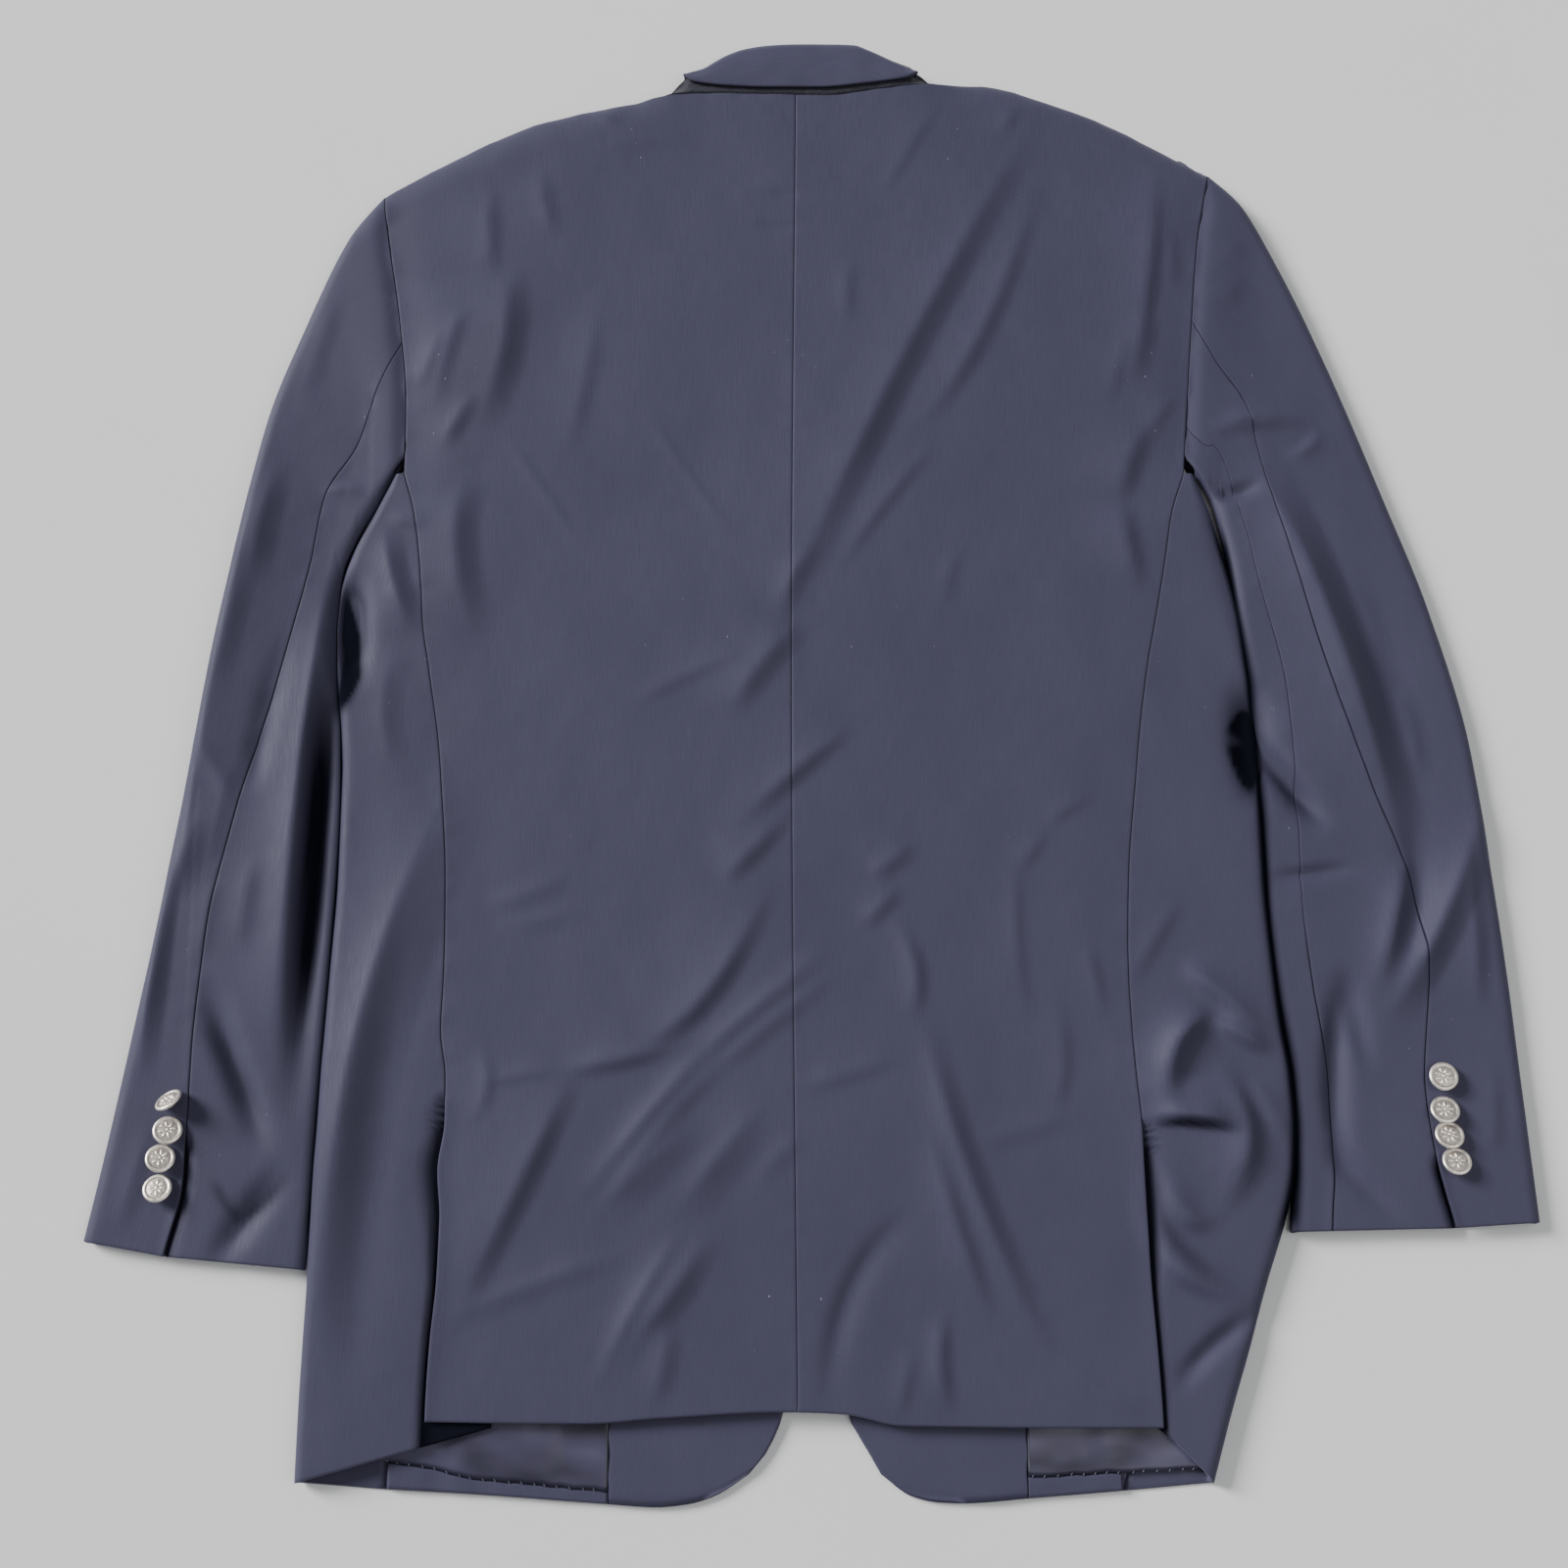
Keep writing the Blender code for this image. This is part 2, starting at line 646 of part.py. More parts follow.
def make_back(side):
    """Half of the back, from the centre seam to the side seam and the armhole."""
    sign = SIGN[side]
    hem_y = back_hem_y(seam_x[side](-390))
    shoulder_y = SHOULDER_Y[side]
    armpit = (ARMPIT_Y - hem_y) / (shoulder_y - hem_y)
    rows = np.concatenate([np.linspace(0, armpit, 27), np.linspace(armpit, 0.966, 9)[1:],
                           1 - np.array([0.024, 0.011, 0.003, 0])])
    across = np.linspace(0, 1, 13)
    inner_y = back_hem_y(sign * HALF_SEAM + centre_x(-390)) * (1 - rows) + top_edge_y(centre_x(400)) * rows
    inner = stack(centre_x(inner_y) + sign * HALF_SEAM, inner_y)
    outer_y = hem_y * (1 - rows) + shoulder_y * rows
    outer = stack(side_of_body(outer_y, side) - sign * HALF_SEAM, outer_y)
    hem_x = inner[0, 0] * (1 - across) + outer[0, 0] * across
    bottom = stack(hem_x, back_hem_y(hem_x))
    top_x = inner[-1, 0] * (1 - across) + outer[-1, 0] * across
    top = stack(top_x, top_edge_y(top_x))
    inner[0] = bottom[0]
    inner[-1] = top[0]
    outer[0] = bottom[-1]
    outer[-1] = top[-1]
    plan = patch(inner, outer, bottom, top)
    x, y = plan[..., 0], plan[..., 1]
    sheet = np.dstack([plan, body_height(x, y)])
    on_shoulder = (x[:, -1] < -95) | (x[:, -1] > 86)
    end_rim = np.where(on_shoulder[:, None], (0.0, 0.0, 1.0), (0.0, 1.0, 0.0))
    inside = inner_face(sheet, CLOTH, True, np.array([0.0, 1.0, 0.0]), end_rim)
    closed_wall("back_" + side, sheet, inside)


def roundness(distance, reach):
    """1 well inside a fold, falling along a quarter ellipse to 0 at the fold."""
    sharp = np.clip(1 - distance / reach, 0, 1)
    return np.sqrt(1 - sharp**2)


def make_side(side):
    """A side panel, from the back seam over the side fold to the underside."""
    sign = SIGN[side]
    hem = SIDE_HEM[side]
    top_y = ARMPIT_Y - SEAM
    vent = (VENT_TOP[side] - hem["seam"]) / (top_y - hem["seam"])
    rows = np.concatenate([np.linspace(0, vent, 10), np.linspace(vent + 0.024, 1, 18)])
    levels = {key: hem[key] * (1 - rows) + top_y * rows for key in hem}
    fold = fold_x[side](levels["fold"])
    below_vent = ease((VENT_TOP[side] - levels["seam"]) / 16)
    width = np.abs(fold - seam_x[side](levels["seam"]))
    under = np.abs(fold - under_seam_x[side](levels["under"]))
    reach = np.minimum(fold_reach[side](levels["fold"]), 0.55 * np.minimum(width, under))
    to_seam = np.abs(fold - seam_x[side](levels["seam"])) - HALF_SEAM
    plain = (to_seam - reach) * np.array(SIDE_COLUMNS)[:, None]
    lapped = np.array([-UNDERLAP, -2.0, 13.0, 0.0, 0.0])[:, None] + 0 * to_seam
    lapped[3] = (13.0 + to_seam - reach) / 2
    lapped[4] = to_seam - reach
    from_seam = plain * (1 - below_vent) + lapped * below_vent
    bend = FOLD_STEPS[1] * reach
    from_fold = np.stack([*(to_seam - from_seam), bend, 0 * bend, bend, reach, (reach + under) / 2, under])
    on_top = np.arange(len(from_fold))[:, None] < 7
    share = np.where(on_top, 1 - from_fold / from_fold[0], from_fold / under)
    bow = share**HEM_BOW[side]
    y = np.where(on_top, levels["seam"] * (1 - bow) + levels["fold"] * bow,
                 levels["fold"] * (1 - share) + levels["under"] * share)
    x = fold - sign * from_fold
    inward = sign * (seam_x[side](y) - x)
    under_back = ease(inward / 8)
    top = body_height(x, y) * (1 - under_back) + body_height(x, y, with_folds=False) * under_back
    drop = (1 - ease(-inward / 14)) * ease((VENT_TOP[side] + 12 - y) / 12)
    top = top - VENT_STEP * drop
    underside = resting_rise(x, y)
    middle = (top + underside) / 2
    round_off = roundness(from_fold, reach)
    z = middle + np.where(on_top, top - middle, underside - middle) * round_off
    sheet = np.dstack([x, y, z])
    hem_rim = np.array([0.0, 1.0, 0.0])
    inside = inner_face(sheet, np.minimum(CLOTH, 0.3 * width), True, hem_rim, hem_rim)
    closed_wall("side_" + side, sheet, inside)


def front_outer_x(side):
    """Place of a front's outer corner at the hem, a little inside its edge."""
    return under_seam_x[side](SIDE_HEM[side]["under"]) - SIGN[side] * 2 * SEAM


def front_plan(side):
    """Plan points of a front, from the side seam underneath to the front edge."""
    sign = SIGN[side]
    hem_y = SIDE_HEM[side]["under"]
    shoulder_y = SHOULDER_Y[side]
    armpit = (ARMPIT_Y - hem_y) / (shoulder_y - hem_y)
    rows = np.concatenate([np.linspace(0, armpit, 20), np.linspace(armpit, 1, 8)[1:]])
    across = np.linspace(0, 1, 11)
    outer_y = hem_y * (1 - rows) + shoulder_y * rows
    below = under_seam_x[side](outer_y) - sign * SEAM
    above = armhole_x[side](outer_y) - sign * HALF_SEAM
    outer = stack(np.where(outer_y < ARMPIT_Y - 1, below, above), outer_y)
    neck_x = NECK_X[side]
    neck_y = top_edge_y(neck_x) - SEAM
    inner_y = FRONT_CORNER_Y * (1 - rows) + neck_y * rows
    along_roll = ease((inner_y - BREAK_Y) / 40)
    at_neck = ease((inner_y - 300) / (neck_y - 300)) * (neck_x - sign * lapel_roll(neck_y))
    inner_x = front_edge_x[side](inner_y) * (1 - along_roll) + sign * lapel_roll(inner_y) * along_roll
    inner = stack(inner_x + at_neck, inner_y)
    hem_x = outer[0, 0] * (1 - across) + inner[0, 0] * across
    bottom = stack(hem_x, front_hem_y[side](hem_x))
    top_x = outer[-1, 0] * (1 - across) + inner[-1, 0] * across
    top = stack(top_x, top_edge_y(top_x) - SEAM)
    outer[0] = bottom[0]
    outer[-1] = top[0]
    inner[0] = bottom[-1]
    inner[-1] = top[-1]
    return patch(outer, inner, bottom, top)


def front_underside(side, x, y):
    """Height of a front's outer face, which looks at the floor."""
    rise = resting_rise(x, y)
    if side == "right":
        rise = rise + overlap_rise(x, y)
    return rise


def make_front(side):
    plan = front_plan(side)
    x, y = plan[..., 0], plan[..., 1]
    return slab("front_" + side, plan, front_underside(side, x, y), front_wall(x, y))


def make_front_inside(side, front):
    """The facing, the lining and the front's turned-up hem, which show below the back's hem."""
    hem = front_hem_y[side]
    strip_height = curve(*np.array(HEM_STRIP[side]).T)
    facing_x = FACING_X[side]
    sign = SIGN[side]
    side_x = sign * 236.0 if side == "left" else 205.0
    shares = np.linspace(0, 1, 4)
    inset = 0.6

    lined_x = np.linspace(side_x, facing_x + sign * SEAM, 7)
    seam_y = hem(lined_x) + strip_height(lined_x)
    lined = np.stack([stack(x, (low + SEAM) * (1 - shares) + INSIDE_TOP_Y * shares)
                      for x, low in zip(lined_x, seam_y)])
    slab("lining_" + side, lined, FRONT_AT_EDGE + REST, LINING, "satin")
    turned_x = np.linspace(front_outer_x(side), facing_x + sign * SEAM, 7)
    turned_up = np.stack([stack(x, np.array([hem(x) + inset, hem(x) + strip_height(x)]))
                          for x in turned_x])
    strip = slab("turned_up_" + side, turned_up, FRONT_AT_EDGE - TURN_UP / 2, 1.5 * TURN_UP)
    join(front, strip)
    corner_x = front_edge_x[side](FRONT_CORNER_Y) + sign * inset
    edge_rows = np.linspace(FRONT_CORNER_Y + inset, INSIDE_TOP_Y, len(shares))
    facing_shares = np.linspace(0, 1, 8)
    lower_x = facing_x * (1 - facing_shares) + corner_x * facing_shares
    lower = stack(lower_x, hem(lower_x) + inset)
    edge = stack(front_edge_x[side](edge_rows) + sign * inset, edge_rows)
    seam = stack(facing_x, lower[0, 1] * (1 - shares) + INSIDE_TOP_Y * shares)
    upper_x = facing_x * (1 - facing_shares) + edge[-1, 0] * facing_shares
    upper = stack(upper_x, np.full(len(upper_x), INSIDE_TOP_Y))
    edge[0] = lower[-1]
    plan = patch(seam, edge, lower, upper)
    x, y = plan[..., 0], plan[..., 1]
    slab("facing_" + side, plan, front_underside(side, x, y) + FRONT_AT_EDGE + REST, LINING)


def sleeve_section(side, share):
    """Plan points of the outer fold, the back seam and the inner fold at a share of the length."""
    table = columns(SLEEVE, SLEEVE_ROWS[side])
    found = {key: curve(table["share"], table[key])(share) for key in table}
    outer = stack(found["outer_x"], found["outer_y"])
    seam = stack(found["seam_x"], found["seam_y"])
    inner = stack(found["inner_x"], found["inner_y"])
    return outer, seam, inner, found["height"]


def on_section(girth, outer, seam, inner):
    """Plan points at a girth from the outer fold, through the seam, to the inner fold."""
    first = np.linalg.norm(seam - outer, axis=-1)
    second = np.linalg.norm(inner - seam, axis=-1)
    near = np.clip(girth / first, 0, 1)[..., None]
    far = np.clip((girth - first) / second, 0, 1)[..., None]
    return outer * (1 - near) + seam * near + (inner - seam) * far


def sleeve_plan(side, share, flat, outer, seam, inner):
    """Plan points of a sleeve, whose first section follows the armhole."""
    plan = on_section(flat, outer, seam, inner)
    first = np.linalg.norm(seam - outer, axis=-1)
    second = np.linalg.norm(inner - seam, axis=-1)
    at_start = np.where(flat < first, flat / first * first[0],
                        first[0] + (flat - first) / second * second[0])
    start = on_section(at_start, outer[0], seam[0], inner[0])
    on_armhole = armhole_x[side](start[..., 1]) + SIGN[side] * HALF_SEAM
    above = ease((start[..., 1] - ARMPIT_Y - 2) / 10)
    leave = np.clip(1 - share / ARMHOLE_SHARE, 0, 1)
    plan[..., 0] += (on_armhole - start[..., 0]) * above * leave
    return plan


def sleeve_height(side, share, height, x, y):
    """Outer height of a sleeve, which starts level with the body at the armhole."""
    own = height + fold_heights(x, y, SLEEVE_FOLDS[side])
    shared = body_height(x, np.minimum(y, top_edge_y(x) - SHOULDER_REACH), with_folds=False)
    leave = ease(share / 0.14)
    return shared * (1 - leave) + own * leave


def skew(fold_line, section):
    """How many times longer a reach gets when measured along slanting sections."""
    run = np.gradient(fold_line, axis=0)
    crossed = np.abs(run[:, 0] * section[:, 1] - run[:, 1] * section[:, 0])
    lengths = np.linalg.norm(run, axis=1) * np.linalg.norm(section, axis=1)
    return np.minimum(lengths / crossed, 3.2)


def make_sleeve_panel(name, side, girths, sleeve):
    """One panel of a sleeve: girths run from the outer fold over the top, and back underneath."""
    share = sleeve["share"]
    width = sleeve["width"]
    turn = np.mod(girths, 2 * width)
    on_top = turn <= width
    flat = np.where(on_top, turn, 2 * width - turn)
    plan = sleeve_plan(side, share, flat, sleeve["outer"], sleeve["seam"], sleeve["inner"])
    x, y = plan[..., 0], plan[..., 1]
    top = sleeve_height(side, share, sleeve["height"], x, y)
    middle = top / 2
    at_outer = flat < width / 2
    from_fold = np.where(at_outer, flat, width - flat)
    reach = np.where(at_outer, sleeve["outer_reach"], sleeve["inner_reach"])
    z = middle + np.where(on_top, top - middle, -middle) * roundness(from_fold, reach)
    sheet = np.dstack([plan, z])
    below = np.where(on_top, 0, ease((from_fold - reach) / 12))
    wall = CLOTH + (SLEEVE_UNDERSIDE - CLOTH) * below
    inside = inner_face(sheet, wall, True, sleeve["armhole_rim"], sleeve["cuff_rim"])
    closed_wall(name, sheet, inside)


def make_sleeve(side):
    share = np.concatenate([[0, 0.018], np.linspace(0.045, 1, 27)])
    outer, seam, inner, height = sleeve_section(side, share)
    first = np.linalg.norm(seam - outer, axis=1)
    width = first + np.linalg.norm(inner - seam, axis=1)
    across = inner - outer
    outer_reach = SLEEVE_FOLD_REACH * skew(outer, seam - outer)
    outer_reach = np.maximum(outer_reach, SHOULDER_REACH * (1 - ease(share / 0.15)))
    inner_reach = SLEEVE_FOLD_REACH * skew(inner, inner - seam)
    sleeve = {
        "share": share, "width": width, "outer": outer, "seam": seam, "inner": inner,
        "height": height, "outer_reach": outer_reach, "inner_reach": inner_reach,
        "armhole_rim": np.array([1.0, 0.0, 0.0]),
        "cuff_rim": np.array([-across[-1, 1], across[-1, 0], 0.0]),
    }

    def between(low, high, count):
        return low + (high - low) * np.linspace(0, 1, count + 1)[1:-1, None]

    steps = np.array(FOLD_STEPS)[:, None]
    over_outer = 2 * width + np.concatenate([-outer_reach * steps[::-1], outer_reach * steps[1:]])
    over_inner = width + np.concatenate([-inner_reach * steps[::-1], inner_reach * steps[1:]])
    back_seam = first + HALF_SEAM
    top_end = 2 * width + first - HALF_SEAM
    if side == "left":
        front_seam = width + inner_reach + FRONT_SLEEVE_SEAM[side]
        under = [back_seam[None], between(back_seam, over_inner[0], 3), over_inner,
                 (front_seam - HALF_SEAM)[None]]
        wrap = [(front_seam + HALF_SEAM)[None], between(front_seam, over_outer[0], 4)]
    else:
        front_seam = width - inner_reach + FRONT_SLEEVE_SEAM[side]
        under = [back_seam[None], between(back_seam, front_seam, 3), (front_seam - HALF_SEAM)[None]]
        wrap = [(front_seam + HALF_SEAM)[None], over_inner, between(over_inner[-1], over_outer[0], 4)]
    wrap += [over_outer, between(over_outer[-1], top_end, 4), top_end[None]]
    make_sleeve_panel("under_sleeve_" + side, side, np.concatenate(under), sleeve)
    make_sleeve_panel("top_sleeve_" + side, side, np.concatenate(wrap)[::-1], sleeve)


def make_collar():
    """The collar: its stand underneath, its roll, the fall on top, and its ends."""
    xs = np.linspace(COLLAR_ENDS["left"], COLLAR_ENDS["right"], 13)
    sheet = []
    for x in xs:
        start = float(fall_y(x))
        roll = float(roll_y(x))
        end = float(top_edge_y(x)) + 1.0
        reach = min(6.0, 0.55 * (roll - start))
        steps = np.array(FOLD_STEPS)
        top_y = np.concatenate([np.linspace(start, roll - reach, 3)[:-1], roll - reach * steps[::-1]])
        bottom_y = np.concatenate([roll - reach * steps[1:], np.linspace(roll - reach, end, 3)[1:]])
        crown = felt_height(x, top_y) + REST + 0.2 + CLOTH
        at_roll = float(felt_height(x, roll - reach)) + REST + 0.2 + CLOTH
        top_z = at_roll / 2 + (crown - at_roll / 2) * roundness(roll - top_y, reach)
        bottom_z = at_roll / 2 * (1 - roundness(roll - bottom_y, reach))
        ys = np.concatenate([top_y, bottom_y])
        zs = np.concatenate([top_z, bottom_z])
        sheet.append(np.stack([np.full(len(ys), x), ys, zs], axis=1))
    sheet = np.array(sheet).transpose(1, 0, 2)
    across_rim = np.array([1.0, 0.0, 0.0])
    inside = inner_face(sheet, 1.8, True, across_rim, across_rim)
    collar = closed_wall("collar", sheet, inside)
    for side in SIGN:
        join(collar, make_collar_end(side))


def make_collar_end(side):
    """The collar's end, from its stand at the neck down to the lapel's gorge seam."""
    sign = SIGN[side]
    gorge = np.array([GORGE, NOTCH], float)
    along = (gorge[1] - gorge[0]) / np.linalg.norm(gorge[1] - gorge[0])
    low = gorge[0] + (0.0, 0.6)
    stand_x = sign * COLLAR_ENDS[side] - 2.0
    neck_x = sign * NECK_X[side]
    inner = np.array([low, (neck_x, 389.0), (stand_x, 399.5)])
    outer = np.array([low + along * COLLAR_END, (neck_x + 30.0, 384.0), (stand_x, 411.0)])
    shares = np.linspace(0, 1, 4)[:, None, None]
    plan = (inner * (1 - shares) + outer * shares) * (sign, 1)
    return slab("collar_end_" + side, plan, 0.0, LAPEL)


def make_under_collar():
    """The felt under the collar, from the neck seam up into the fold."""
    xs = np.linspace(FELT_ENDS[0], FELT_ENDS[1], 14)
    shares = np.linspace(0, 1, 3)
    plan = np.stack([stack(x, (top_edge_y(x) + SEAM) * (1 - shares) + felt_y(x) * shares) for x in xs])
    x, y = plan[..., 0], plan[..., 1]
    slab("under_collar", plan, felt_height(x, y) - FELT, FELT, "felt")


def make_lapel(side):
    """The lapel, folded back under its front."""
    sign = SIGN[side]
    rows = np.linspace(0, 1, 13)
    across = np.linspace(0, 1, 4)
    start_y = BREAK_Y + FRONT_BUTTON
    roll_ys = start_y * (1 - rows) + GORGE[1] * rows
    edge_ys = start_y * (1 - rows) + NOTCH[1] * rows
    roll = stack(lapel_roll(roll_ys) + 0.4, roll_ys)
    edge = stack(lapel_edge(edge_ys), edge_ys)
    bottom = roll[0] * (1 - across[:, None]) + edge[0] * across[:, None]
    top = roll[-1] * (1 - across[:, None]) + edge[-1] * across[:, None]
    plan = patch(roll, edge, bottom, top) * (sign, 1)
    slab("lapel_" + side, plan, 0.0, LAPEL)


def make_pocket_flaps():
    """The flaps of the hip pockets."""
    for side, sign in SIGN.items():
        far = 250.0 if side == "left" else 251.0
        xs = np.linspace(far, 102.0, 7)
        shares = np.linspace(0, 1, 3)
        slope = 6.0 / 148.0
        plan = np.stack([stack(x, -143.0 - slope * (far - x) - 49.0 * shares[::-1]) for x in xs])
        slab("pocket_flap_" + side, plan * (sign, 1), 0.0, FLAP)


def turned(name, profile, finish):
    """A body of revolution from a profile of radius and height, outer side top to bottom."""
    builder = bmesh.new()
    points = [builder.verts.new((radius * MM, 0.0, height * MM)) for radius, height in profile]
    for first, second in zip(points, points[1:]):
        builder.edges.new((first, second))
    mesh = bpy.data.meshes.new(name)
    builder.to_mesh(mesh)
    builder.free()
    item = place(name, mesh, finish)
    screw = item.modifiers.new("turn", "SCREW")
    screw.steps = BUTTON_STEPS
    screw.render_steps = BUTTON_STEPS
    screw.use_merge_vertices = True
    screw.merge_threshold = 0.0001
    return item


def cuff_button_profile():
    """Radius and height from the middle of the face to the tip of the shank."""
    rim = CUFF_BUTTON / 2
    return ((0.0, 1.4), (rim * 0.7, 1.0), (rim, -0.1), (rim * 0.9, -0.9), (2.0, -1.2),
            (1.8, -4.0), (0.0, -4.0))


def make_cuff_buttons(side):
    """Four shank buttons in a row beside the vent, leaning on one another."""
    profile = cuff_button_profile()
    for number, row in enumerate(CUFF_BUTTON_ROWS[side], start=1):
        spot = dict(zip(CUFF_BUTTON_PLACES, row))
        button = turned("cuff_button_%s_%d" % (side, number), profile, "metal")
        tilt = math.radians(spot["tilt"])
        lean = math.radians(spot["lean"])
        lowest = min(height * math.cos(tilt) - radius * math.sin(tilt) for radius, height in profile)
        nearby = np.array([[spot["x"] + dx, spot["y"] + dy] for dx in (-6, 0, 6) for dy in (-7, 0, 7)])
        share = sleeve_share(side, spot["y"])
        height = sleeve_section(side, np.array([share]))[3]
        cloth = sleeve_height(side, np.full(9, share), height, nearby[:, 0], nearby[:, 1]).max()
        button.location = (spot["x"] * MM, spot["y"] * MM, (cloth + REST - lowest) * MM)
        button.rotation_euler = (0.0, tilt, lean)


def sleeve_share(side, y):
    """Share of a sleeve's length at which its back seam passes a level."""
    table = columns(SLEEVE, SLEEVE_ROWS[side])
    return float(np.interp(-y, -table["seam_y"], table["share"]))


def make_front_buttons():
    """The two buttons that close the fronts, pressed flat between them and the floor."""
    rim = FRONT_BUTTON / 2
    profile = ((0.0, FRONT_BUTTON_WALL), (rim * 0.9, FRONT_BUTTON_WALL), (rim, 2.4), (rim, 0.4),
               (rim * 0.96, 0.0), (0.0, 0.0))
    for number, y in enumerate((BREAK_Y, LOWER_BUTTON_Y), start=1):
        button = turned("front_button_%d" % number, profile, "metal")
        button.location = (0.0, y * MM, 0.0)


def main():
    for item in list(bpy.data.objects):
        bpy.data.objects.remove(item, do_unlink=True)
    for name in ("blazer", "joined"):
        bpy.context.scene.collection.children.link(bpy.data.collections.new(name))
    for name, finish in FINISHES.items():
        new_material(name, *finish)
    for side in SIGN:
        make_back(side)
        make_side(side)
        front = make_front(side)
        make_front_inside(side, front)
        make_sleeve(side)
        make_lapel(side)
        make_cuff_buttons(side)
    make_collar()
    make_under_collar()
    make_pocket_flaps()
    make_front_buttons()


main()
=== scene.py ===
# %% [markdown]
# A blazer lies flat on the floor with its back up. The frame already holds the
# blazer as plain solids in its real size, so this lesson dresses them: each piece
# of cloth becomes a thin shell that lies where its solid lies, with its creases,
# its pressed edges and its weave.

# %% Load the frame
import json
import math

import bmesh
import bpy
import numpy as np
from mathutils import Matrix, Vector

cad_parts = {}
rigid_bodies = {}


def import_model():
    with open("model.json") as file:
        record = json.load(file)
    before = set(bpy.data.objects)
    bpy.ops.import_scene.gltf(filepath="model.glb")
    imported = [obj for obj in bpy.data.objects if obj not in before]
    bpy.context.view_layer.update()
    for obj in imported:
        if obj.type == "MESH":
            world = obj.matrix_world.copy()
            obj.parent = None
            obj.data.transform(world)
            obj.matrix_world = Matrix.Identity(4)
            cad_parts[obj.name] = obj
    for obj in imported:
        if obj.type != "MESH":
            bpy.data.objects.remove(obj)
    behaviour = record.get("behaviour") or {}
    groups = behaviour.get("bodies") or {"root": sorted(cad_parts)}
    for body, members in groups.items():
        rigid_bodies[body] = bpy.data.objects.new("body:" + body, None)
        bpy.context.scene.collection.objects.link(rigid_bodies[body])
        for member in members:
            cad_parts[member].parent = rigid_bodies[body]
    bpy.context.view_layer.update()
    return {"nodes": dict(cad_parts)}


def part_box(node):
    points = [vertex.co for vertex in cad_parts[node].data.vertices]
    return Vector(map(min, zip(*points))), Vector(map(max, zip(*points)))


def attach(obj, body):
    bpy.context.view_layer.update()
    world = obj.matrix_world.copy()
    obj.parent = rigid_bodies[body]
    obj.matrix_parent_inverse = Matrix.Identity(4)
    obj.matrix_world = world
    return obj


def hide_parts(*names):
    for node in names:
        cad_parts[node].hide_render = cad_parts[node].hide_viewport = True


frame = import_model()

MM = 0.001
SIGN = {"left": -1.0, "right": 1.0}

# %% [markdown]
# The floor and the camera come first. The camera looks down on the blazer and
# leans thirteen degrees towards its hem. A plain pale sheet serves as the floor,
# because it shows the outline of dark cloth and throws soft light under its edges.

# %% Floor and camera
bpy.ops.mesh.primitive_plane_add(size=6.0, location=(0, 0, -0.0003))
floor = bpy.context.object
floor.name = "floor"
CAMERA_TILT = math.radians(13)
CAMERA_REACH = 1.1528
CAMERA_LENS = 46.35
AIM = (-0.0153, -0.0411)
camera = bpy.data.objects.new("camera", bpy.data.cameras.new("camera"))
bpy.context.scene.collection.objects.link(camera)
camera.data.lens = CAMERA_LENS
camera.data.sensor_width = 36
camera.location = (AIM[0], AIM[1] - CAMERA_REACH * math.sin(CAMERA_TILT),
                   CAMERA_REACH * math.cos(CAMERA_TILT))
camera.rotation_euler = (CAMERA_TILT, 0, 0)
bpy.context.scene.camera = camera
print("camera height:", round(camera.location.z, 3))

# %% [markdown]
# Creases only show when light grazes them. One broad soft light stands low on the
# left and a little behind the collar, so slopes that face it turn pale and the
# others dark. A wide, weak light overhead and a pale sky keep the shade soft.

# %% Studio light
def soft_light(name, watts, size, place, aim):
    lamp = bpy.data.objects.new(name, bpy.data.lights.new(name, "AREA"))
    lamp.data.energy = watts
    lamp.data.size = size
    lamp.location = place
    towards = np.array(aim) - np.array(place)
    flat = math.hypot(towards[0], towards[1])
    lamp.rotation_euler = (math.atan2(flat, -towards[2]), 0, math.atan2(-towards[0], towards[1]))
    bpy.context.scene.collection.objects.link(lamp)
    return lamp


soft_light("low_light", 3500.0, 5.2, (-11.4, 5.6, 6.6), (0.0, 0.0, 0.0))
soft_light("high_light", 30.0, 2.6, (1.3, -0.5, 2.4), (0.0, 0.0, 0.0))
world = bpy.data.worlds.new("pale_sky")
world.use_nodes = True
world.node_tree.nodes["Background"].inputs["Color"].default_value = (0.92, 0.95, 1.0, 1.0)
world.node_tree.nodes["Background"].inputs["Strength"].default_value = 0.24
bpy.context.scene.world = world

# %% [markdown]
# A material is a small network of nodes. These helpers add a node, set its
# sockets and join it to others, so that each finish below reads like a recipe.
# Patterns follow a map in metres along the cloth, never the camera.

# %% Helpers for materials
def recipe(name, colour, roughness, metallic=0.0):
    """A new material with its shader set, and its node tree."""
    material = bpy.data.materials.new(name)
    material.use_nodes = True
    shader = material.node_tree.nodes["Principled BSDF"]
    shader.inputs["Base Color"].default_value = (*colour, 1.0)
    shader.inputs["Roughness"].default_value = roughness
    shader.inputs["Metallic"].default_value = metallic
    return material, material.node_tree, shader


def add_node(tree, kind, settings=(), **sockets):
    """Add a node. A socket is given by name, as a value or as an output to join."""
    node = tree.nodes.new("ShaderNode" + kind)
    for key, value in dict(settings).items():
        setattr(node, key, value)
    for key, value in sockets.items():
        socket = node.inputs[int(key[1:])] if key[0] == "n" and key[1:].isdigit() else node.inputs[key]
        if isinstance(value, bpy.types.NodeSocket):
            tree.links.new(value, socket)
        else:
            socket.default_value = value
    return node


def stretched(tree, source, scale):
    """The source's coordinates, scaled by three numbers."""
    return add_node(tree, "Mapping", Vector=source, Scale=scale).outputs["Vector"]


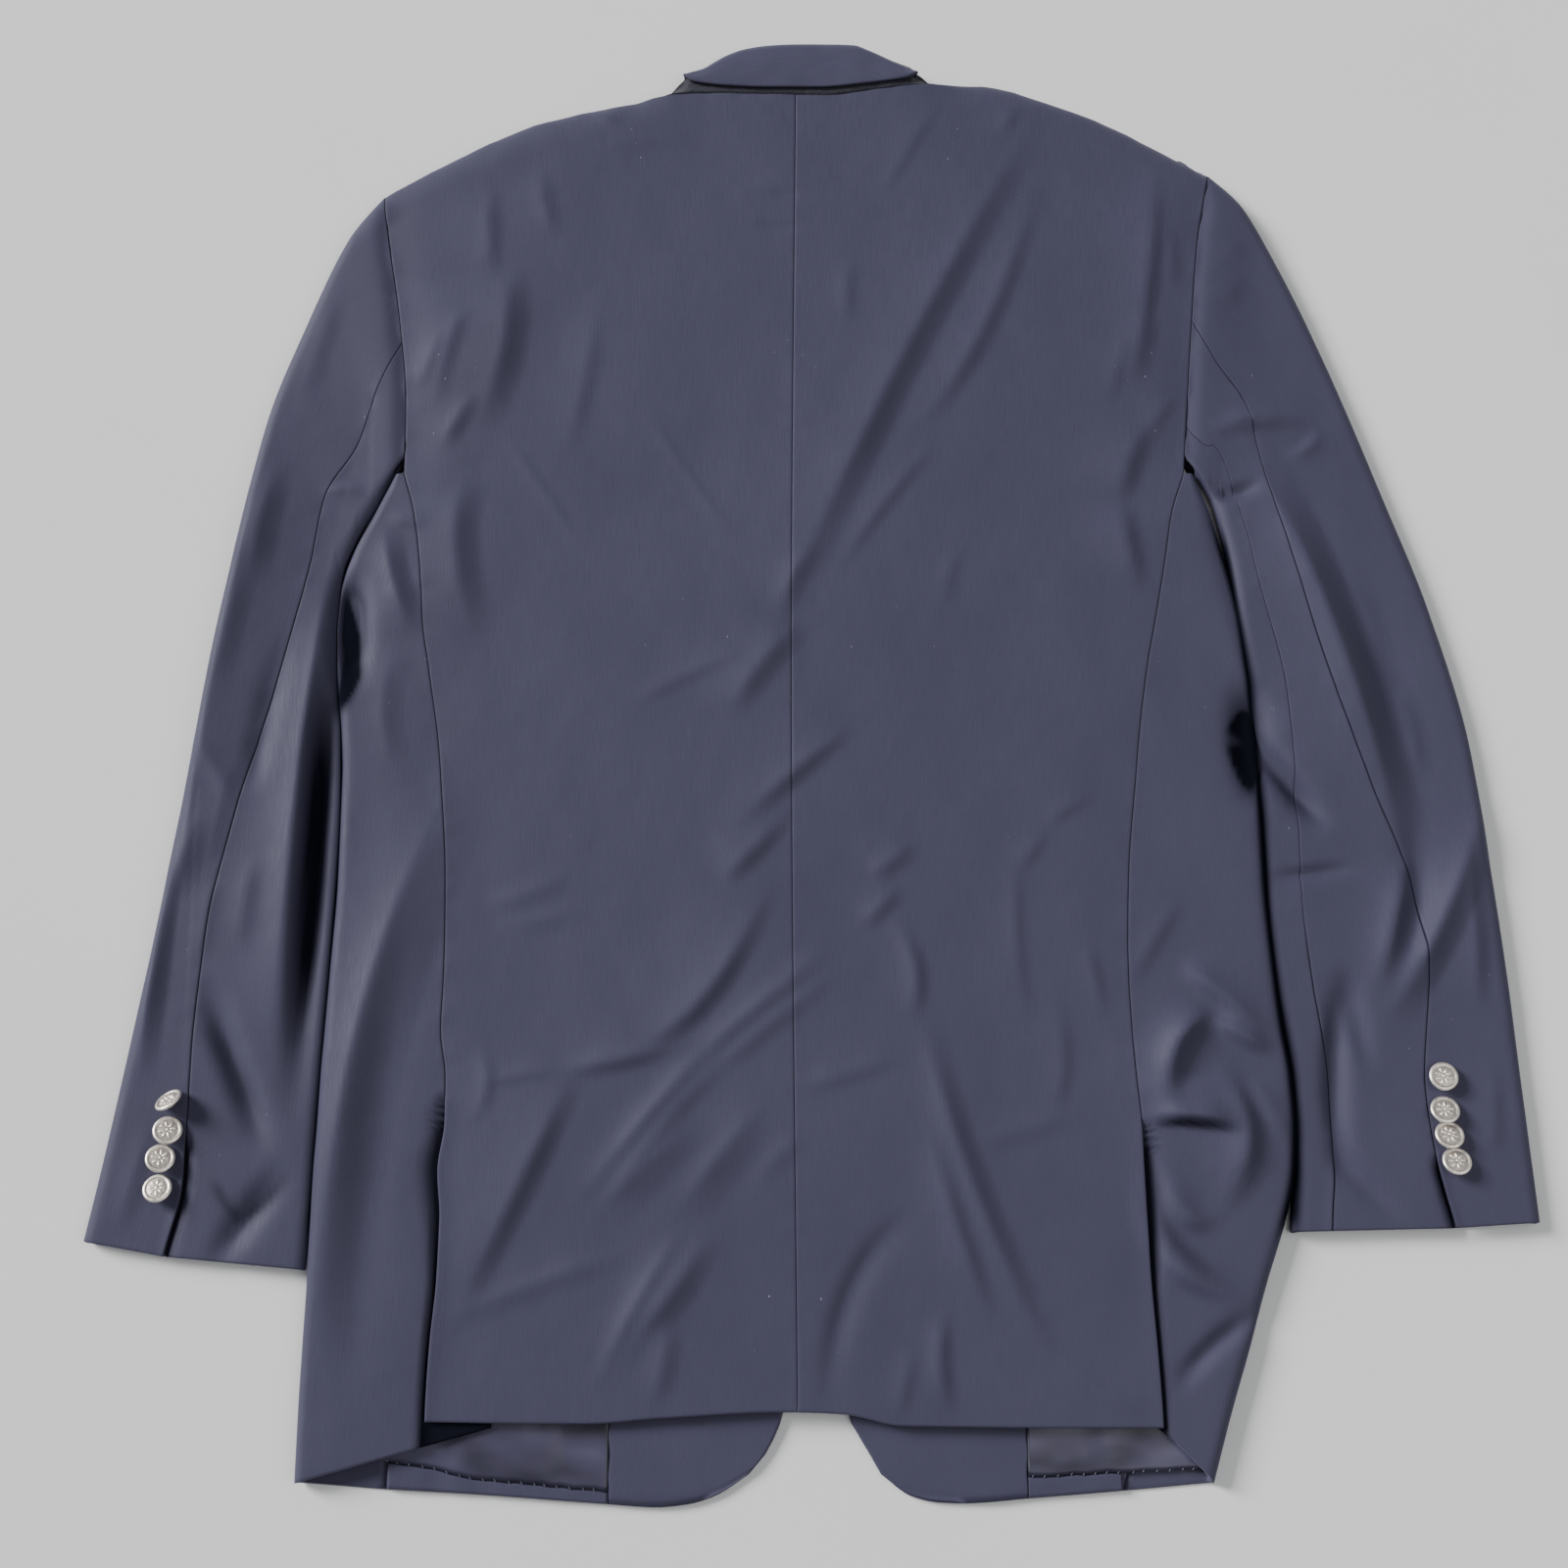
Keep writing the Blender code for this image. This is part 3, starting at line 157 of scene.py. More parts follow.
def noise(tree, source, scale, detail=2.0, roughness=0.5):
    """A grey noise in the given scale along each axis."""
    found = add_node(tree, "TexNoise", Vector=stretched(tree, source, scale), Scale=1.0,
                     Detail=detail, Roughness=roughness)
    return found.outputs["Fac"]


def spread(tree, value, low, high, to_low=0.0, to_high=1.0):
    """Stretch a value from one range to another, and keep it inside."""
    found = add_node(tree, "MapRange", Value=value)
    for key, number in zip(("From Min", "From Max", "To Min", "To Max"), (low, high, to_low, to_high)):
        found.inputs[key].default_value = number
    return found.outputs["Result"]


def blend_colours(tree, share, first, second):
    """Mix two colours by a share."""
    found = add_node(tree, "Mix", {"data_type": "RGBA"})
    for socket, value in zip((found.inputs[0], found.inputs[6], found.inputs[7]), (share, first, second)):
        if isinstance(value, bpy.types.NodeSocket):
            tree.links.new(value, socket)
        else:
            socket.default_value = value if isinstance(value, float) else (*value, 1.0)
    return found.outputs[2]


def cloth_place(tree):
    """The piece's own map, in metres along the cloth."""
    return add_node(tree, "UVMap", {"uv_map": "cloth"}).outputs["UV"]


def solid_place(tree):
    return add_node(tree, "TexCoord").outputs["Object"]


def attribute(tree, name):
    return add_node(tree, "Attribute", {"attribute_name": name}).outputs["Fac"]


def times(tree, first, second):
    return add_node(tree, "Math", {"operation": "MULTIPLY"}, n0=first, n1=second).outputs[0]


def raise_bumps(tree, shader, height, strength, distance):
    bumps = add_node(tree, "Bump", Height=height, Strength=strength, Distance=distance)
    tree.links.new(bumps.outputs["Normal"], shader.inputs["Normal"])


print("helpers are ready")

# %% [markdown]
# The cloth is a navy worsted, a wool woven so fine that single threads only show
# close up. What shows from further off is its grain, thin streaks that run down
# the cloth, a soft sheen, and a little lint. Streaks and threads are two noises
# stretched along the cloth's own map, because a regular wave would flicker.
# Seams carry an attribute that darkens the cloth where it dips into them. The
# same attribute is painted shade in the deepest hollows, the gaps beside the
# sleeves and the vent openings, and wherever it darkens it also takes the sheen
# and gloss away.

# %% Worsted
WORSTED = (0.041, 0.039, 0.073)
WORSTED_LIT = (0.056, 0.053, 0.094)
LINT = (0.36, 0.36, 0.40)
# Dark of the seam lines, and of the painted shade in hollows, gaps and vent openings.
SEAM_AND_SHADE_INK = (0.004, 0.0045, 0.008)


def worsted_material():
    material, tree, shader = recipe("worsted", WORSTED, 0.62)
    cloth_map = cloth_place(tree)
    streaks = noise(tree, cloth_map, (900, 70, 1), 3.0, 0.6)
    threads = noise(tree, cloth_map, (1900, 1300, 1), 1.0)
    clouds = noise(tree, cloth_map, (14, 9, 1), 2.0)
    grain = spread(tree, streaks, 0.3, 0.7)
    grained = blend_colours(tree, spread(tree, grain, 0.0, 1.0, 0.25, 0.75), WORSTED, WORSTED_LIT)
    clouded = blend_colours(tree, spread(tree, clouds, 0.35, 0.65, 0.0, 0.35), grained,
                            tuple(value * 0.85 for value in WORSTED))
    specks = add_node(tree, "TexVoronoi", Vector=stretched(tree, cloth_map, (120, 75, 1)), Scale=1.0)
    few = spread(tree, noise(tree, cloth_map, (9, 9, 1), 0.0), 0.60, 0.72)
    lint = times(tree, spread(tree, specks.outputs["Distance"], 0.035, 0.055, 1.0, 0.0), few)
    dusted = blend_colours(tree, times(tree, lint, 0.7), clouded, LINT)
    # The seam attribute holds both the seam lines and the painted shade; both darken the colour here.
    seam = attribute(tree, "seam")
    inked = blend_colours(tree, seam, dusted, SEAM_AND_SHADE_INK)
    tree.links.new(inked, shader.inputs["Base Color"])
    tree.links.new(spread(tree, streaks, 0.3, 0.7, 0.56, 0.70), shader.inputs["Roughness"])
    # Where the shade is painted, gloss and sheen fade out too, so that it stays black.
    tree.links.new(spread(tree, seam, 0.0, 0.9, 0.28, 0.0), shader.inputs["Specular IOR Level"])
    tree.links.new(spread(tree, seam, 0.0, 0.9, 0.12, 0.0), shader.inputs["Sheen Weight"])
    shader.inputs["Sheen Roughness"].default_value = 0.45
    shader.inputs["Sheen Tint"].default_value = (0.78, 0.76, 1.0, 1.0)
    relief = add_node(tree, "Math", {"operation": "ADD"}, n0=streaks, n1=threads).outputs[0]
    raise_bumps(tree, shader, relief, 0.22, 0.0004)
    return material


worsted = worsted_material()
print("material:", worsted.name)

# %% [markdown]
# The lining is a purplish satin. It is smoother than the wool, and its glints are
# painted into its colour as soft pale and dark patches; the pale ones are also
# glossier. Fine cross threads break up its gloss.

# %% Lining satin
def satin_material():
    material, tree, shader = recipe("lining_satin", (0.052, 0.048, 0.088), 0.34)
    cloth_map = cloth_place(tree)
    painted_glint_patches = noise(tree, cloth_map, (20, 46, 1), 1.6)
    threads = noise(tree, cloth_map, (700, 2400, 1), 1.0)
    # Painted reflection: pale and dark patches in the colour stand for the satin's glints.
    colour = blend_colours(tree, spread(tree, painted_glint_patches, 0.35, 0.65),
                           (0.016, 0.014, 0.032), (0.066, 0.060, 0.110))
    seam = attribute(tree, "seam")
    tree.links.new(blend_colours(tree, seam, colour, (0.010, 0.010, 0.018)), shader.inputs["Base Color"])
    tree.links.new(spread(tree, painted_glint_patches, 0.3, 0.7, 0.50, 0.30), shader.inputs["Roughness"])
    raise_bumps(tree, shader, threads, 0.15, 0.0003)
    return material


satin = satin_material()
print("material:", satin.name)

# %% [markdown]
# The strip under the collar is felt, matted wool with no weave. Its fuzz is a
# coarse noise in the bump and pale fibres scattered over a nearly black ground.

# %% Felt
def felt_material():
    material, tree, shader = recipe("collar_felt", (0.020, 0.021, 0.036), 0.95)
    place = solid_place(tree)
    fuzz = noise(tree, place, (900, 900, 900), 4.0, 0.7)
    fibres = noise(tree, place, (380, 1500, 900), 2.0)
    colour = blend_colours(tree, spread(tree, fibres, 0.55, 0.75),
                           (0.010, 0.010, 0.020), (0.030, 0.030, 0.048))
    tree.links.new(colour, shader.inputs["Base Color"])
    shader.inputs["Sheen Weight"].default_value = 0.12
    shader.inputs["Sheen Roughness"].default_value = 0.6
    raise_bumps(tree, shader, fuzz, 0.7, 0.0008)
    return material


felt = felt_material()
print("material:", felt.name)

# %% [markdown]
# The buttons are stamped from silvery metal. Their raised parts are polished by
# wear, and a dark film stays in the hollows, which the attribute "hollow" marks.

# %% Button metal and thread
def button_material():
    material, tree, shader = recipe("button_silver", (0.80, 0.74, 0.68), 0.34, 0.85)
    place = solid_place(tree)
    scratches = noise(tree, place, (900, 260, 900), 3.0, 0.6)
    tarnish = noise(tree, place, (420, 420, 420), 2.0)
    hollow = attribute(tree, "hollow")
    worn = blend_colours(tree, spread(tree, tarnish, 0.40, 0.66, 0.0, 0.55),
                         (1.0, 0.93, 0.84), (0.60, 0.51, 0.44))
    tree.links.new(blend_colours(tree, hollow, worn, (0.16, 0.135, 0.12)), shader.inputs["Base Color"])
    tree.links.new(spread(tree, scratches, 0.3, 0.7, 0.30, 0.48), shader.inputs["Roughness"])
    raise_bumps(tree, shader, scratches, 0.12, 0.0002)
    return material


def thread_material():
    material, tree, shader = recipe("sewing_thread", (0.10, 0.105, 0.16), 0.6)
    place = solid_place(tree)
    twist = noise(tree, place, (2600, 2600, 2600), 1.0)
    colour = blend_colours(tree, twist, (0.07, 0.073, 0.12), (0.16, 0.165, 0.23))
    tree.links.new(colour, shader.inputs["Base Color"])
    raise_bumps(tree, shader, twist, 0.3, 0.0002)
    return material


def floor_material():
    material, tree, shader = recipe("pale_floor", (0.94, 0.935, 0.92), 0.85)
    place = solid_place(tree)
    mottle = noise(tree, place, (6, 6, 6), 3.0)
    colour = blend_colours(tree, mottle, (0.78, 0.78, 0.775), (0.83, 0.83, 0.82))
    tree.links.new(colour, shader.inputs["Base Color"])
    return material


silver = button_material()
thread = thread_material()
floor.data.materials.append(floor_material())
print("materials:", silver.name, thread.name, floor.data.materials[0].name)

# %% [markdown]
# The outlines are tables of millimetres, one row for each level of the garment,
# and a smooth curve runs through each column. They are the solids' own numbers,
# so a shell made from them lies where its solid does. Only the neck seam and the
# collar's fall and roll are set a few millimetres lower than on the solids.

# %% Tables and smooth curves
def curve(knots, values):
    """A smooth function through values at knots that never overshoots them."""
    knots = np.asarray(knots, float)
    values = np.asarray(values, float)
    steps = np.diff(knots)
    rises = np.diff(values) / steps
    slopes = np.zeros(len(knots))
    slopes[0] = rises[0]
    slopes[-1] = rises[-1]
    before = rises[:-1]
    after = rises[1:]
    same = before * after > 0
    slopes[1:-1][same] = 2 * before[same] * after[same] / (before[same] + after[same])

    def at(place):
        place = np.clip(place, knots[0], knots[-1])
        i = np.clip(np.searchsorted(knots, place, side="right") - 1, 0, len(steps) - 1)
        t = (place - knots[i]) / steps[i]
        rest = 1 - t
        bends = t * rest * steps[i] * (rest * slopes[i] - t * slopes[i + 1])
        return values[i] * rest**2 * (1 + 2 * t) + values[i + 1] * t**2 * (3 - 2 * t) + bends

    return at


def curves(names, rows):
    """Smooth curves of a table's named columns against its first one."""
    first, *others = np.array(rows, float).T
    return {name: curve(first, column) for name, column in zip(names.split(), others)}


def mix(first, second, share):
    """Go from one value to another by a share."""
    return first * (1 - share) + second * share


def ease(t):
    """A soft step from 0 to 1."""
    t = np.clip(t, 0.0, 1.0)
    return t * t * (3 - 2 * t)


# Outline of the body below the armpits, one row for each level.
body = curves("left_fold left_seam right_seam right_fold", (
    (-420, -273, -205, 185.5, 211), (-385, -273, -205, 185, 222), (-350, -272.5, -204, 183.5, 234),
    (-315, -271.5, -201.5, 181.5, 245), (-284, -270.5, -201, 180.5, 254.5),
    (-258, -270, -203, 180, 260.5), (-232, -269, -200, 179.5, 262),
    (-208, -268.5, -200.5, 177.5, 261.3), (-181, -267.5, -204, 176, 258),
    (-150, -266.5, -203.5, 175.3, 255.5), (-98, -264.8, -204.5, 177.5, 252.8),
    (-38, -265.3, -209.5, 184, 252.5), (-13, -267, -212.5, 187, 251.8), (8, -269.5, -216, 190, 250.8),
    (29, -272, -219.5, 193.5, 248.9), (50, -273, -223, 198, 247), (70, -272, -224.5, 202, 244.4),
    (94, -266, -227, 206.5, 240), (119, -254.5, -231, 211, 234), (143, -243.5, -238, 219, 225),
))

# Armhole seams above the armpits.
armhole_x = curves("left right", (
    (143, -238, 219), (190, -239, 223.4), (240, -244.5, 228.2), (290, -253, 233.7), (324, -258, 240),
    (338, -259, 243),
))

# Where the side panels end underneath and the fronts begin.
under_seam_x = curves("left right", (
    (-425, -225, 163), (-330, -225, 190), (-200, -226, 204), (143, -238, 219),
))
print("curves of the body:", list(body))

# %% [markdown]
# The back ends in the shoulder and neck seams at its top and in a hem at the
# bottom. Two side vents let the hem open. The underside of the body lies on its
# lapels, flaps and buttons, so the fronts rise a little where those are.

# %% Edges and levels of the body
# Shoulder and neck seams as one edge across the top of the back.
cut_edge_y = curves("y", (
    (-259, 323.5), (-220, 347), (-196, 360), (-170, 372), (-136, 382), (-112, 390), (-92, 396),
    (-66, 397.5), (-9, 396.5), (8, 396), (43, 400.5), (78, 404), (106, 402), (130, 394), (154, 385),
    (184, 372), (214, 355), (244, 337),
))["y"]

back_hem_y = curves("y", (
    (-206, -389), (-120, -390), (-78, -387), (-15, -384), (16, -385), (47, -391), (141, -392),
    (187, -392),
))["y"]

centre_x = curves("x", (
    (-390, -8), (17, -11), (400, -8),
))["x"]

# Hem heights of the side panels at the back seam, at the fold and underneath.
SIDE_HEM = {
    "left": {"seam": -392.0, "fold": -420.0, "under": -423.5},
    "right": {"seam": -376.0, "fold": -420.0, "under": -424.3},
}
HEM_BOW = {"left": 1.0, "right": 1.6}

# Outer height of the body, at the side folds and along the middle.
edge_height, middle_height = curves("edge middle", (
    (-433, 10, 10), (-350, 10, 10.6), (-285, 10.6, 11.6), (-215, 12, 13), (-30, 12, 13.2),
    (150, 12.4, 13), (300, 13, 13.2), (410, 12, 11.5),
)).values()

# Fronts with their canvas, thickest at the chest and the shoulder.
front_wall_at = curves("wall", (
    (-433, 2.6), (-312, 2.6), (-270, 3.8), (-50, 3.8), (150, 4.6), (300, 5), (400, 5),
))["wall"]
ARMPIT_Y = 143.0
SHOULDER_Y = {"left": 324.0, "right": 338.0}
NECK_X = {"left": -88.0, "right": 80.0}
VENT_TOP = {"left": -220.0, "right": -234.0}
SHOULDER_REACH = 20.0
BREAK_Y = -54.0
LOWER_BUTTON_Y = -164.0
FRONT_AT_EDGE = 2.6
LAPEL = 1.6
REST = 0.3
LIFTED_Y = -215.0
LIFT_SLOPE = 60.0
LIFT = LAPEL + REST
BUTTON_LIFT = 3.0 + REST
BUTTON_MARGIN = 22.0
BUTTON_SLOPE = 50.0
fold_x = {side: body[side + "_fold"] for side in SIGN}
seam_x = {side: body[side + "_seam"] for side in SIGN}
NECK_DROP = 6.0    # the neck seam sinks this far under the collar's weight


def top_edge_y(x):
    """The neck seam and the shoulder seams."""
    return cut_edge_y(x) - NECK_DROP * ease((140 - np.abs(x + 6)) / 60)


print("neck seam at the middle: y =", round(float(top_edge_y(-8.0)), 1), "mm")

# %% [markdown]
# Every crease is a row of numbers: where it starts, passes and ends, how far it
# rises or sinks, and how wide it falls away on each side. A narrow side makes a
# crease sharp and a wide side makes it melt into the cloth. They were placed one
# by one, so no two have the same length or depth.

# %% Creases of the body
CREASE = "x0 y0 x1 y1 x2 y2 rise wide_left wide_right".split()
BODY_CREASES = (
    (-14, 62, 53, 213, 136, 368, 3.8, 34, 12), (-48, -3, -28, 27, -8, 50, 2.6, 16, 9),
    (-17, 58, -11, 78, 2, 102, 1.6, 10, 8), (62, 176, 104, 237, 137, 335, 1.8, 12, 7),
    (18, 88, 43, 125, 72, 162, 1.1, 8, 5), (77, 62, 80, 82, 86, 100, 0.7, 6, 6),
    (43, 321, 60, 352, 79, 385, 0.7, 8, 4), (118, 360, 121, 372, 128, 386, 0.9, 6, 5),
    (22, 236, 22, 258, 25, 280, 0.8, 6, 5), (-26, 321, -15, 322, -5, 321, -0.6, 3, 3),
    (-34, 303, -18, 300, -4, 300, -0.6, 3, 3), (190, 213, 203, 272, 208, 340, 2.4, 20, 6),
    (188, 198, 195, 222, 203, 246, 1.8, 9, 9), (176, 186, 182, 210, 190, 236, 0.8, 6, 5),
    (216, 262, 217, 282, 215, 306, 0.7, 5, 4), (180, 125, 186, 150, 198, 176, 2.8, 18, 9),
    (188, 72, 184, 98, 179, 126, 2.4, 16, 8), (198, 166, 206, 180, 214, 192, 0.8, 4, 4),
    (-197, 172, -182, 225, -184, 270, 3.4, 38, 12), (-191, 268, -193, 298, -195, 328, 1.2, 9, 6),
    (-152, 296, -160, 315, -163, 340, 1.1, 8, 6), (-222, 185, -215, 222, -207, 246, 1.2, 7, 6),
    (-232, 196, -226, 214, -219, 236, 0.9, 5, 5), (-143, 160, -134, 200, -129, 244, 0.9, 9, 7),
    (-217, 160, -208, 176, -200, 192, 1.5, 6, 6), (-192, 44, -206, 96, -200, 140, 3.2, 26, 12),
    (-228, 46, -241, 76, -247, 108, 3, 10, 9), (-246, 116, -234, 113, -222, 112, 0.9, 3, 4),
    (-46, 104, -74, 146, -103, 189, 0.4, 2.5, 2.5), (-133, 98, -156, 132, -179, 167, 0.4, 2.5, 2.5),
    (-104, 2, -72, 20, -42, 32, 0.8, 7, 5), (-134, 380, -126, 376, -115, 371, 1.2, 4, 4),
    (-136, 352, -100, 360, -64, 362, 0.5, 9, 9), (-42, -66, -8, -35, 20, -12, 2, 14, 6),
    (-50, -98, -33, -82, -13, -60, 2, 12, 6), (32, -96, 44, -88, 58, -77, 1.6, 8, 7),
    (28, -125, 38, -114, 48, -104, 1.5, 7, 6), (52, -178, 57, -150, 44, -122, 1.8, 6, 6),
    (-139, -204, -104, -198, -70, -189, 2, 10, 6), (-182, -211, -160, -207, -136, -204, 0.8, 5, 4),
    (-93, -186, -58, -162, -26, -102, 3, 16, 7), (-192, -335, -157, -262, -134, -210, 2.9, 22, 8),
    (-130, -278, -84, -222, -60, -196, 1.8, 5, 7), (-62, -198, -36, -174, 8, -139, 1.7, 5, 7),
    (-118, -284, -77, -228, -52, -204, 1.4, 4, 7), (-54, -206, -28, -182, 12, -152, 1.3, 4, 7),
    (-112, -276, -88, -254, -64, -230, 2, 10, 13), (-72, -280, -50, -250, -24, -220, 2, 9, 14),
    (-30, -264, -18, -250, -6, -238, 0.8, 6, 7), (-114, -370, -94, -328, -70, -290, 1.7, 5, 7),
    (-106, -372, -86, -332, -64, -300, 1, 4, 6), (-92, -341, -74, -322, -58, -291, 2.3, 8, 9),
    (-86, -382, -80, -360, -78, -340, 1.2, 6, 7), (-198, -338, -150, -318, -100, -302, 1, 5, 8),
    (-180, -110, -158, -106, -134, -94, 0.9, 6, 8), (-176, -124, -150, -121, -126, -112, 0.6, 6, 8),
    (-186, -232, -178, -212, -184, -192, 0.9, 4, 5), (128, -360, 84, -260, 64, -180, 3, 8, 9),
    (176, -384, 150, -372, 124, -352, 1.2, 6, 7), (95, -340, 78, -290, 63, -238, 2.4, 9, 7),
    (10, -384, 20, -322, 55, -283, -1.8, 5, 8), (72, -384, 67, -358, 71, -332, 1.9, 6, 6),
    (45, -388, 48, -370, 54, -352, 0.9, 5, 5), (-12, -214, 20, -206, 48, -196, 1, 9, 6),
    (118, -178, 113, -130, 115, -84, 0.9, 6, 5), (115, -94, 123, -82, 131, -70, 0.9, 7, 5),
    (131, -66, 143, -58, 158, -48, 0.8, 8, 5), (160, -178, 156, -155, 151, -134, 1, 6, 5),
    (127, -230, 137, -200, 131, -166, 1.1, 8, 6), (90, -242, 115, -236, 152, -226, 0.8, 6, 8),
    (-258, -350, -252, -200, -208, -60, 6, 14, 26), (-243, -390, -240, -250, -222, -120, -1.6, 10, 10),
    (-232, -40, -244, 0, -236, 36, 1.2, 8, 10), (176, -158, 190, -132, 206, -110, 1.2, 6, 5),
    (206, -148, 224, -161, 246, -182, 3.4, 9, 7), (181, -231, 206, -229, 232, -234, 7.5, 14, 3.6),
    (218, -278, 236, -240, 220, -206, 5, 11, 8), (193, -226, 200, -189, 222, -175, 7, 8, 8),
    (222, -175, 236, -185, 252, -193, 3.6, 7, 6), (240, -208, 250, -226, 260, -244, 2, 7, 6),
    (196, -246, 199, -280, 222, -279, 3, 8, 7), (184, -258, 187, -302, 232, -323, 4.6, 10, 7),
    (187, -377, 214, -350, 240, -333, -3, 5, 5),
)
# Hollows where the body and the sleeves roll down towards each other.
HOLLOWS = (
    (-267, 82, -265, 50, -264, 12, -7.5, 9, 9), (251, 16, 250, -16, 253, -58, -6, 10, 10),
)


CREST = 1.5            # how round the top of a crease is
CREASE_STRETCH = 1.18  # a crease runs on past the ends in its row
CREASE_FADE = 3.6      # how many widths away a crease is still felt
CREASE_RISE = 1.25


def crease_heights(x, y, rows):
    """Add up the creases of a table at the points given."""
    total = np.zeros(np.shape(x))
    steps = np.linspace(0, 1, 15)[:, None]
    for row in rows:
        crease = dict(zip(CREASE, row))
        middle = np.array([crease["x1"], crease["y1"]])
        start = middle + CREASE_STRETCH * (np.array([crease["x0"], crease["y0"]]) - middle)
        end = middle + CREASE_STRETCH * (np.array([crease["x2"], crease["y2"]]) - middle)
        pull = 2 * middle - 0.5 * (start + end)
        line = (1 - steps)**2 * start + 2 * steps * (1 - steps) * pull + steps**2 * end
        reach = CREASE_FADE * max(crease["wide_left"], crease["wide_right"])
        near = ((x > line[:, 0].min() - reach) & (x < line[:, 0].max() + reach)
                & (y > line[:, 1].min() - reach) & (y < line[:, 1].max() + reach))
        if not near.any():
            continue
        px, py = x[near], y[near]
        nearest = np.full(px.shape, np.inf)
        along = np.zeros(px.shape)
        across = np.zeros(px.shape)
        for k in range(len(steps) - 1):
            run = line[k + 1] - line[k]
            t = np.clip(((px - line[k][0]) * run[0] + (py - line[k][1]) * run[1]) / (run @ run), 0, 1)
            off_x = px - line[k][0] - t * run[0]
            off_y = py - line[k][1] - t * run[1]
            distance = np.hypot(off_x, off_y)
            closer = distance < nearest
            nearest = np.where(closer, distance, nearest)
            along = np.where(closer, (k + t) / (len(steps) - 1), along)
            across = np.where(closer, off_x * run[1] - off_y * run[0], across)
        rounded = np.hypot(nearest, CREST) - CREST
        gentle = np.exp(-rounded / crease["wide_left"])
        steep = np.clip(1 - rounded / (1.1 * crease["wide_right"]), 0, 1)**1.35
        shape = np.where(across > 0, steep, gentle)
        if crease["rise"] < 0:
            shape = np.exp(-(nearest / np.where(across > 0, crease["wide_right"], crease["wide_left"]))**2)
        total[near] += CREASE_RISE * crease["rise"] * shape * ease(along * 2.4) * ease((1 - along) * 2.4)
    return total


def soft_noise(x, y, size, seed):
    """Smooth bumps between -1 and 1, about one size apart, always the same for a seed."""
    lattice = np.random.default_rng(seed).uniform(-1, 1, (128, 128))
    column, row = np.asarray(x) / size + 64, np.asarray(y) / size + 64
    i, j = np.floor(column).astype(int), np.floor(row).astype(int)
    u, v = ease(column - i), ease(row - j)

    def at(a, b):
        return lattice[(i + a) % 128, (j + b) % 128]

    return (at(0, 0) * (1 - u) + at(1, 0) * u) * (1 - v) + (at(0, 1) * (1 - u) + at(1, 1) * u) * v


def ripples(x, y):
    """The cloth's small unevenness between its creases."""
    turned = 0.8 * x + 0.6 * y
    crossed = 0.8 * y - 0.6 * x
    return (0.55 * soft_noise(turned, crossed * 0.6, 46, 3) + 0.25 * soft_noise(x, y * 0.55, 21, 5)
            + 0.08 * soft_noise(crossed, turned, 9, 7))


print("creases on the body:", len(BODY_CREASES))

# %% [markdown]
# With these, one function gives the height of the back and the side panels at
# any point. The armhole seam pulls a valley into the cloth, and the shoulder
# rolls down to its seam.

# %% Height of the body
def side_of_body(y, side):
    """Edge of the back: the back seam below the armpit and the armhole above it."""
    return np.where(y < ARMPIT_Y, seam_x[side](y), armhole_x[side](y))


def resting_rise(x, y):
    """How far lapels, flaps and buttons hold the underside above the floor."""
    lifted = LIFT * ease((y - LIFTED_Y + LIFT_SLOPE) / LIFT_SLOPE)
    beyond_x = np.maximum(np.abs(x) - BUTTON_MARGIN, 0)
    beyond_y = np.maximum(np.maximum(y - BREAK_Y, LOWER_BUTTON_Y - y) - BUTTON_MARGIN, 0)
    near_button = 1 - ease(np.hypot(beyond_x, beyond_y) / BUTTON_SLOPE)
    return lifted + (BUTTON_LIFT - LIFT) * near_button


ARMHOLE_DIP = 1.8


def seam_dip(x, y, side):
    """The valley that the armhole seam draws into the cloth, gentler on the body's side."""
    inward = SIGN[side] * (armhole_x[side](y) - x)
    away = inward / np.where(inward > 0, 15.0, 6.0)
    high = ease((y - ARMPIT_Y + 10) / 30) * ease((top_edge_y(x) - y) / 25)
    return ARMHOLE_DIP * np.exp(-away**2) * high


def shoulder_drop(x, y):
    """1 on the back, falling to 0 at the shoulder seam, but not along the neck."""
    sharp = np.clip(1 - (top_edge_y(x) - y) / SHOULDER_REACH, 0, 1)
    on_shoulder = ease((-x - 82) / 26) + ease((x - 68) / 36)
    return 1 - (1 - np.sqrt(1 - sharp**2)) * on_shoulder


def body_height(x, y, with_folds=True):
    """Outer height of the back and the side panels above the floor."""
    middle = np.exp(-(x / 95.0)**2)
    height = mix(edge_height(y), middle_height(y), middle)
    if with_folds:
        calm = np.ones(np.shape(x))
        for side, top in VENT_TOP.items():
            at_vent = ease((top + 24 - y) / 24)
            calm = calm * (1 - 0.8 * at_vent * np.exp(-((x - seam_x[side](y)) / 12.0)**2))
        height = height + (crease_heights(x, y, BODY_CREASES) + ripples(x, y)) * calm
        height = height + crease_heights(x, y, HOLLOWS)
    for side in SIGN:
        height = height - seam_dip(x, y, side)
    rim = resting_rise(x, y) + FRONT_AT_EDGE + REST
    height = np.maximum(height, rim + 1.2)
    return rim + (height - rim) * shoulder_drop(x, y)


at_middle = float(body_height(np.array([0.0]), np.array([0.0]))[0])
print("height at the middle of the back:", round(at_middle, 1), "mm")

# %% [markdown]
# Each piece is a grid of points that becomes a closed shell: a grid is created,
# its faces are extruded once, and the two layers are moved to the cloth's outer
# and inner faces. The grid also gives the map for the weave, in metres along the
# cloth, so threads bend with it. Rows crowd together near the rims, because a
# rim there is rolled over a quarter of an ellipse.

# %% Helpers for shells
WALL = 1.4
SEAM = 0.12
HALF_SEAM = SEAM / 2
ROLL_REACH = 1.2
ROLL_DEPTH = 0.5
RIM_STEPS = np.array([0.0, 0.3, 0.8, 1.5, 2.6])
FOLD_TURN = np.linspace(0, 1, 8)**1.7    # rows that crowd towards the edge of a fold


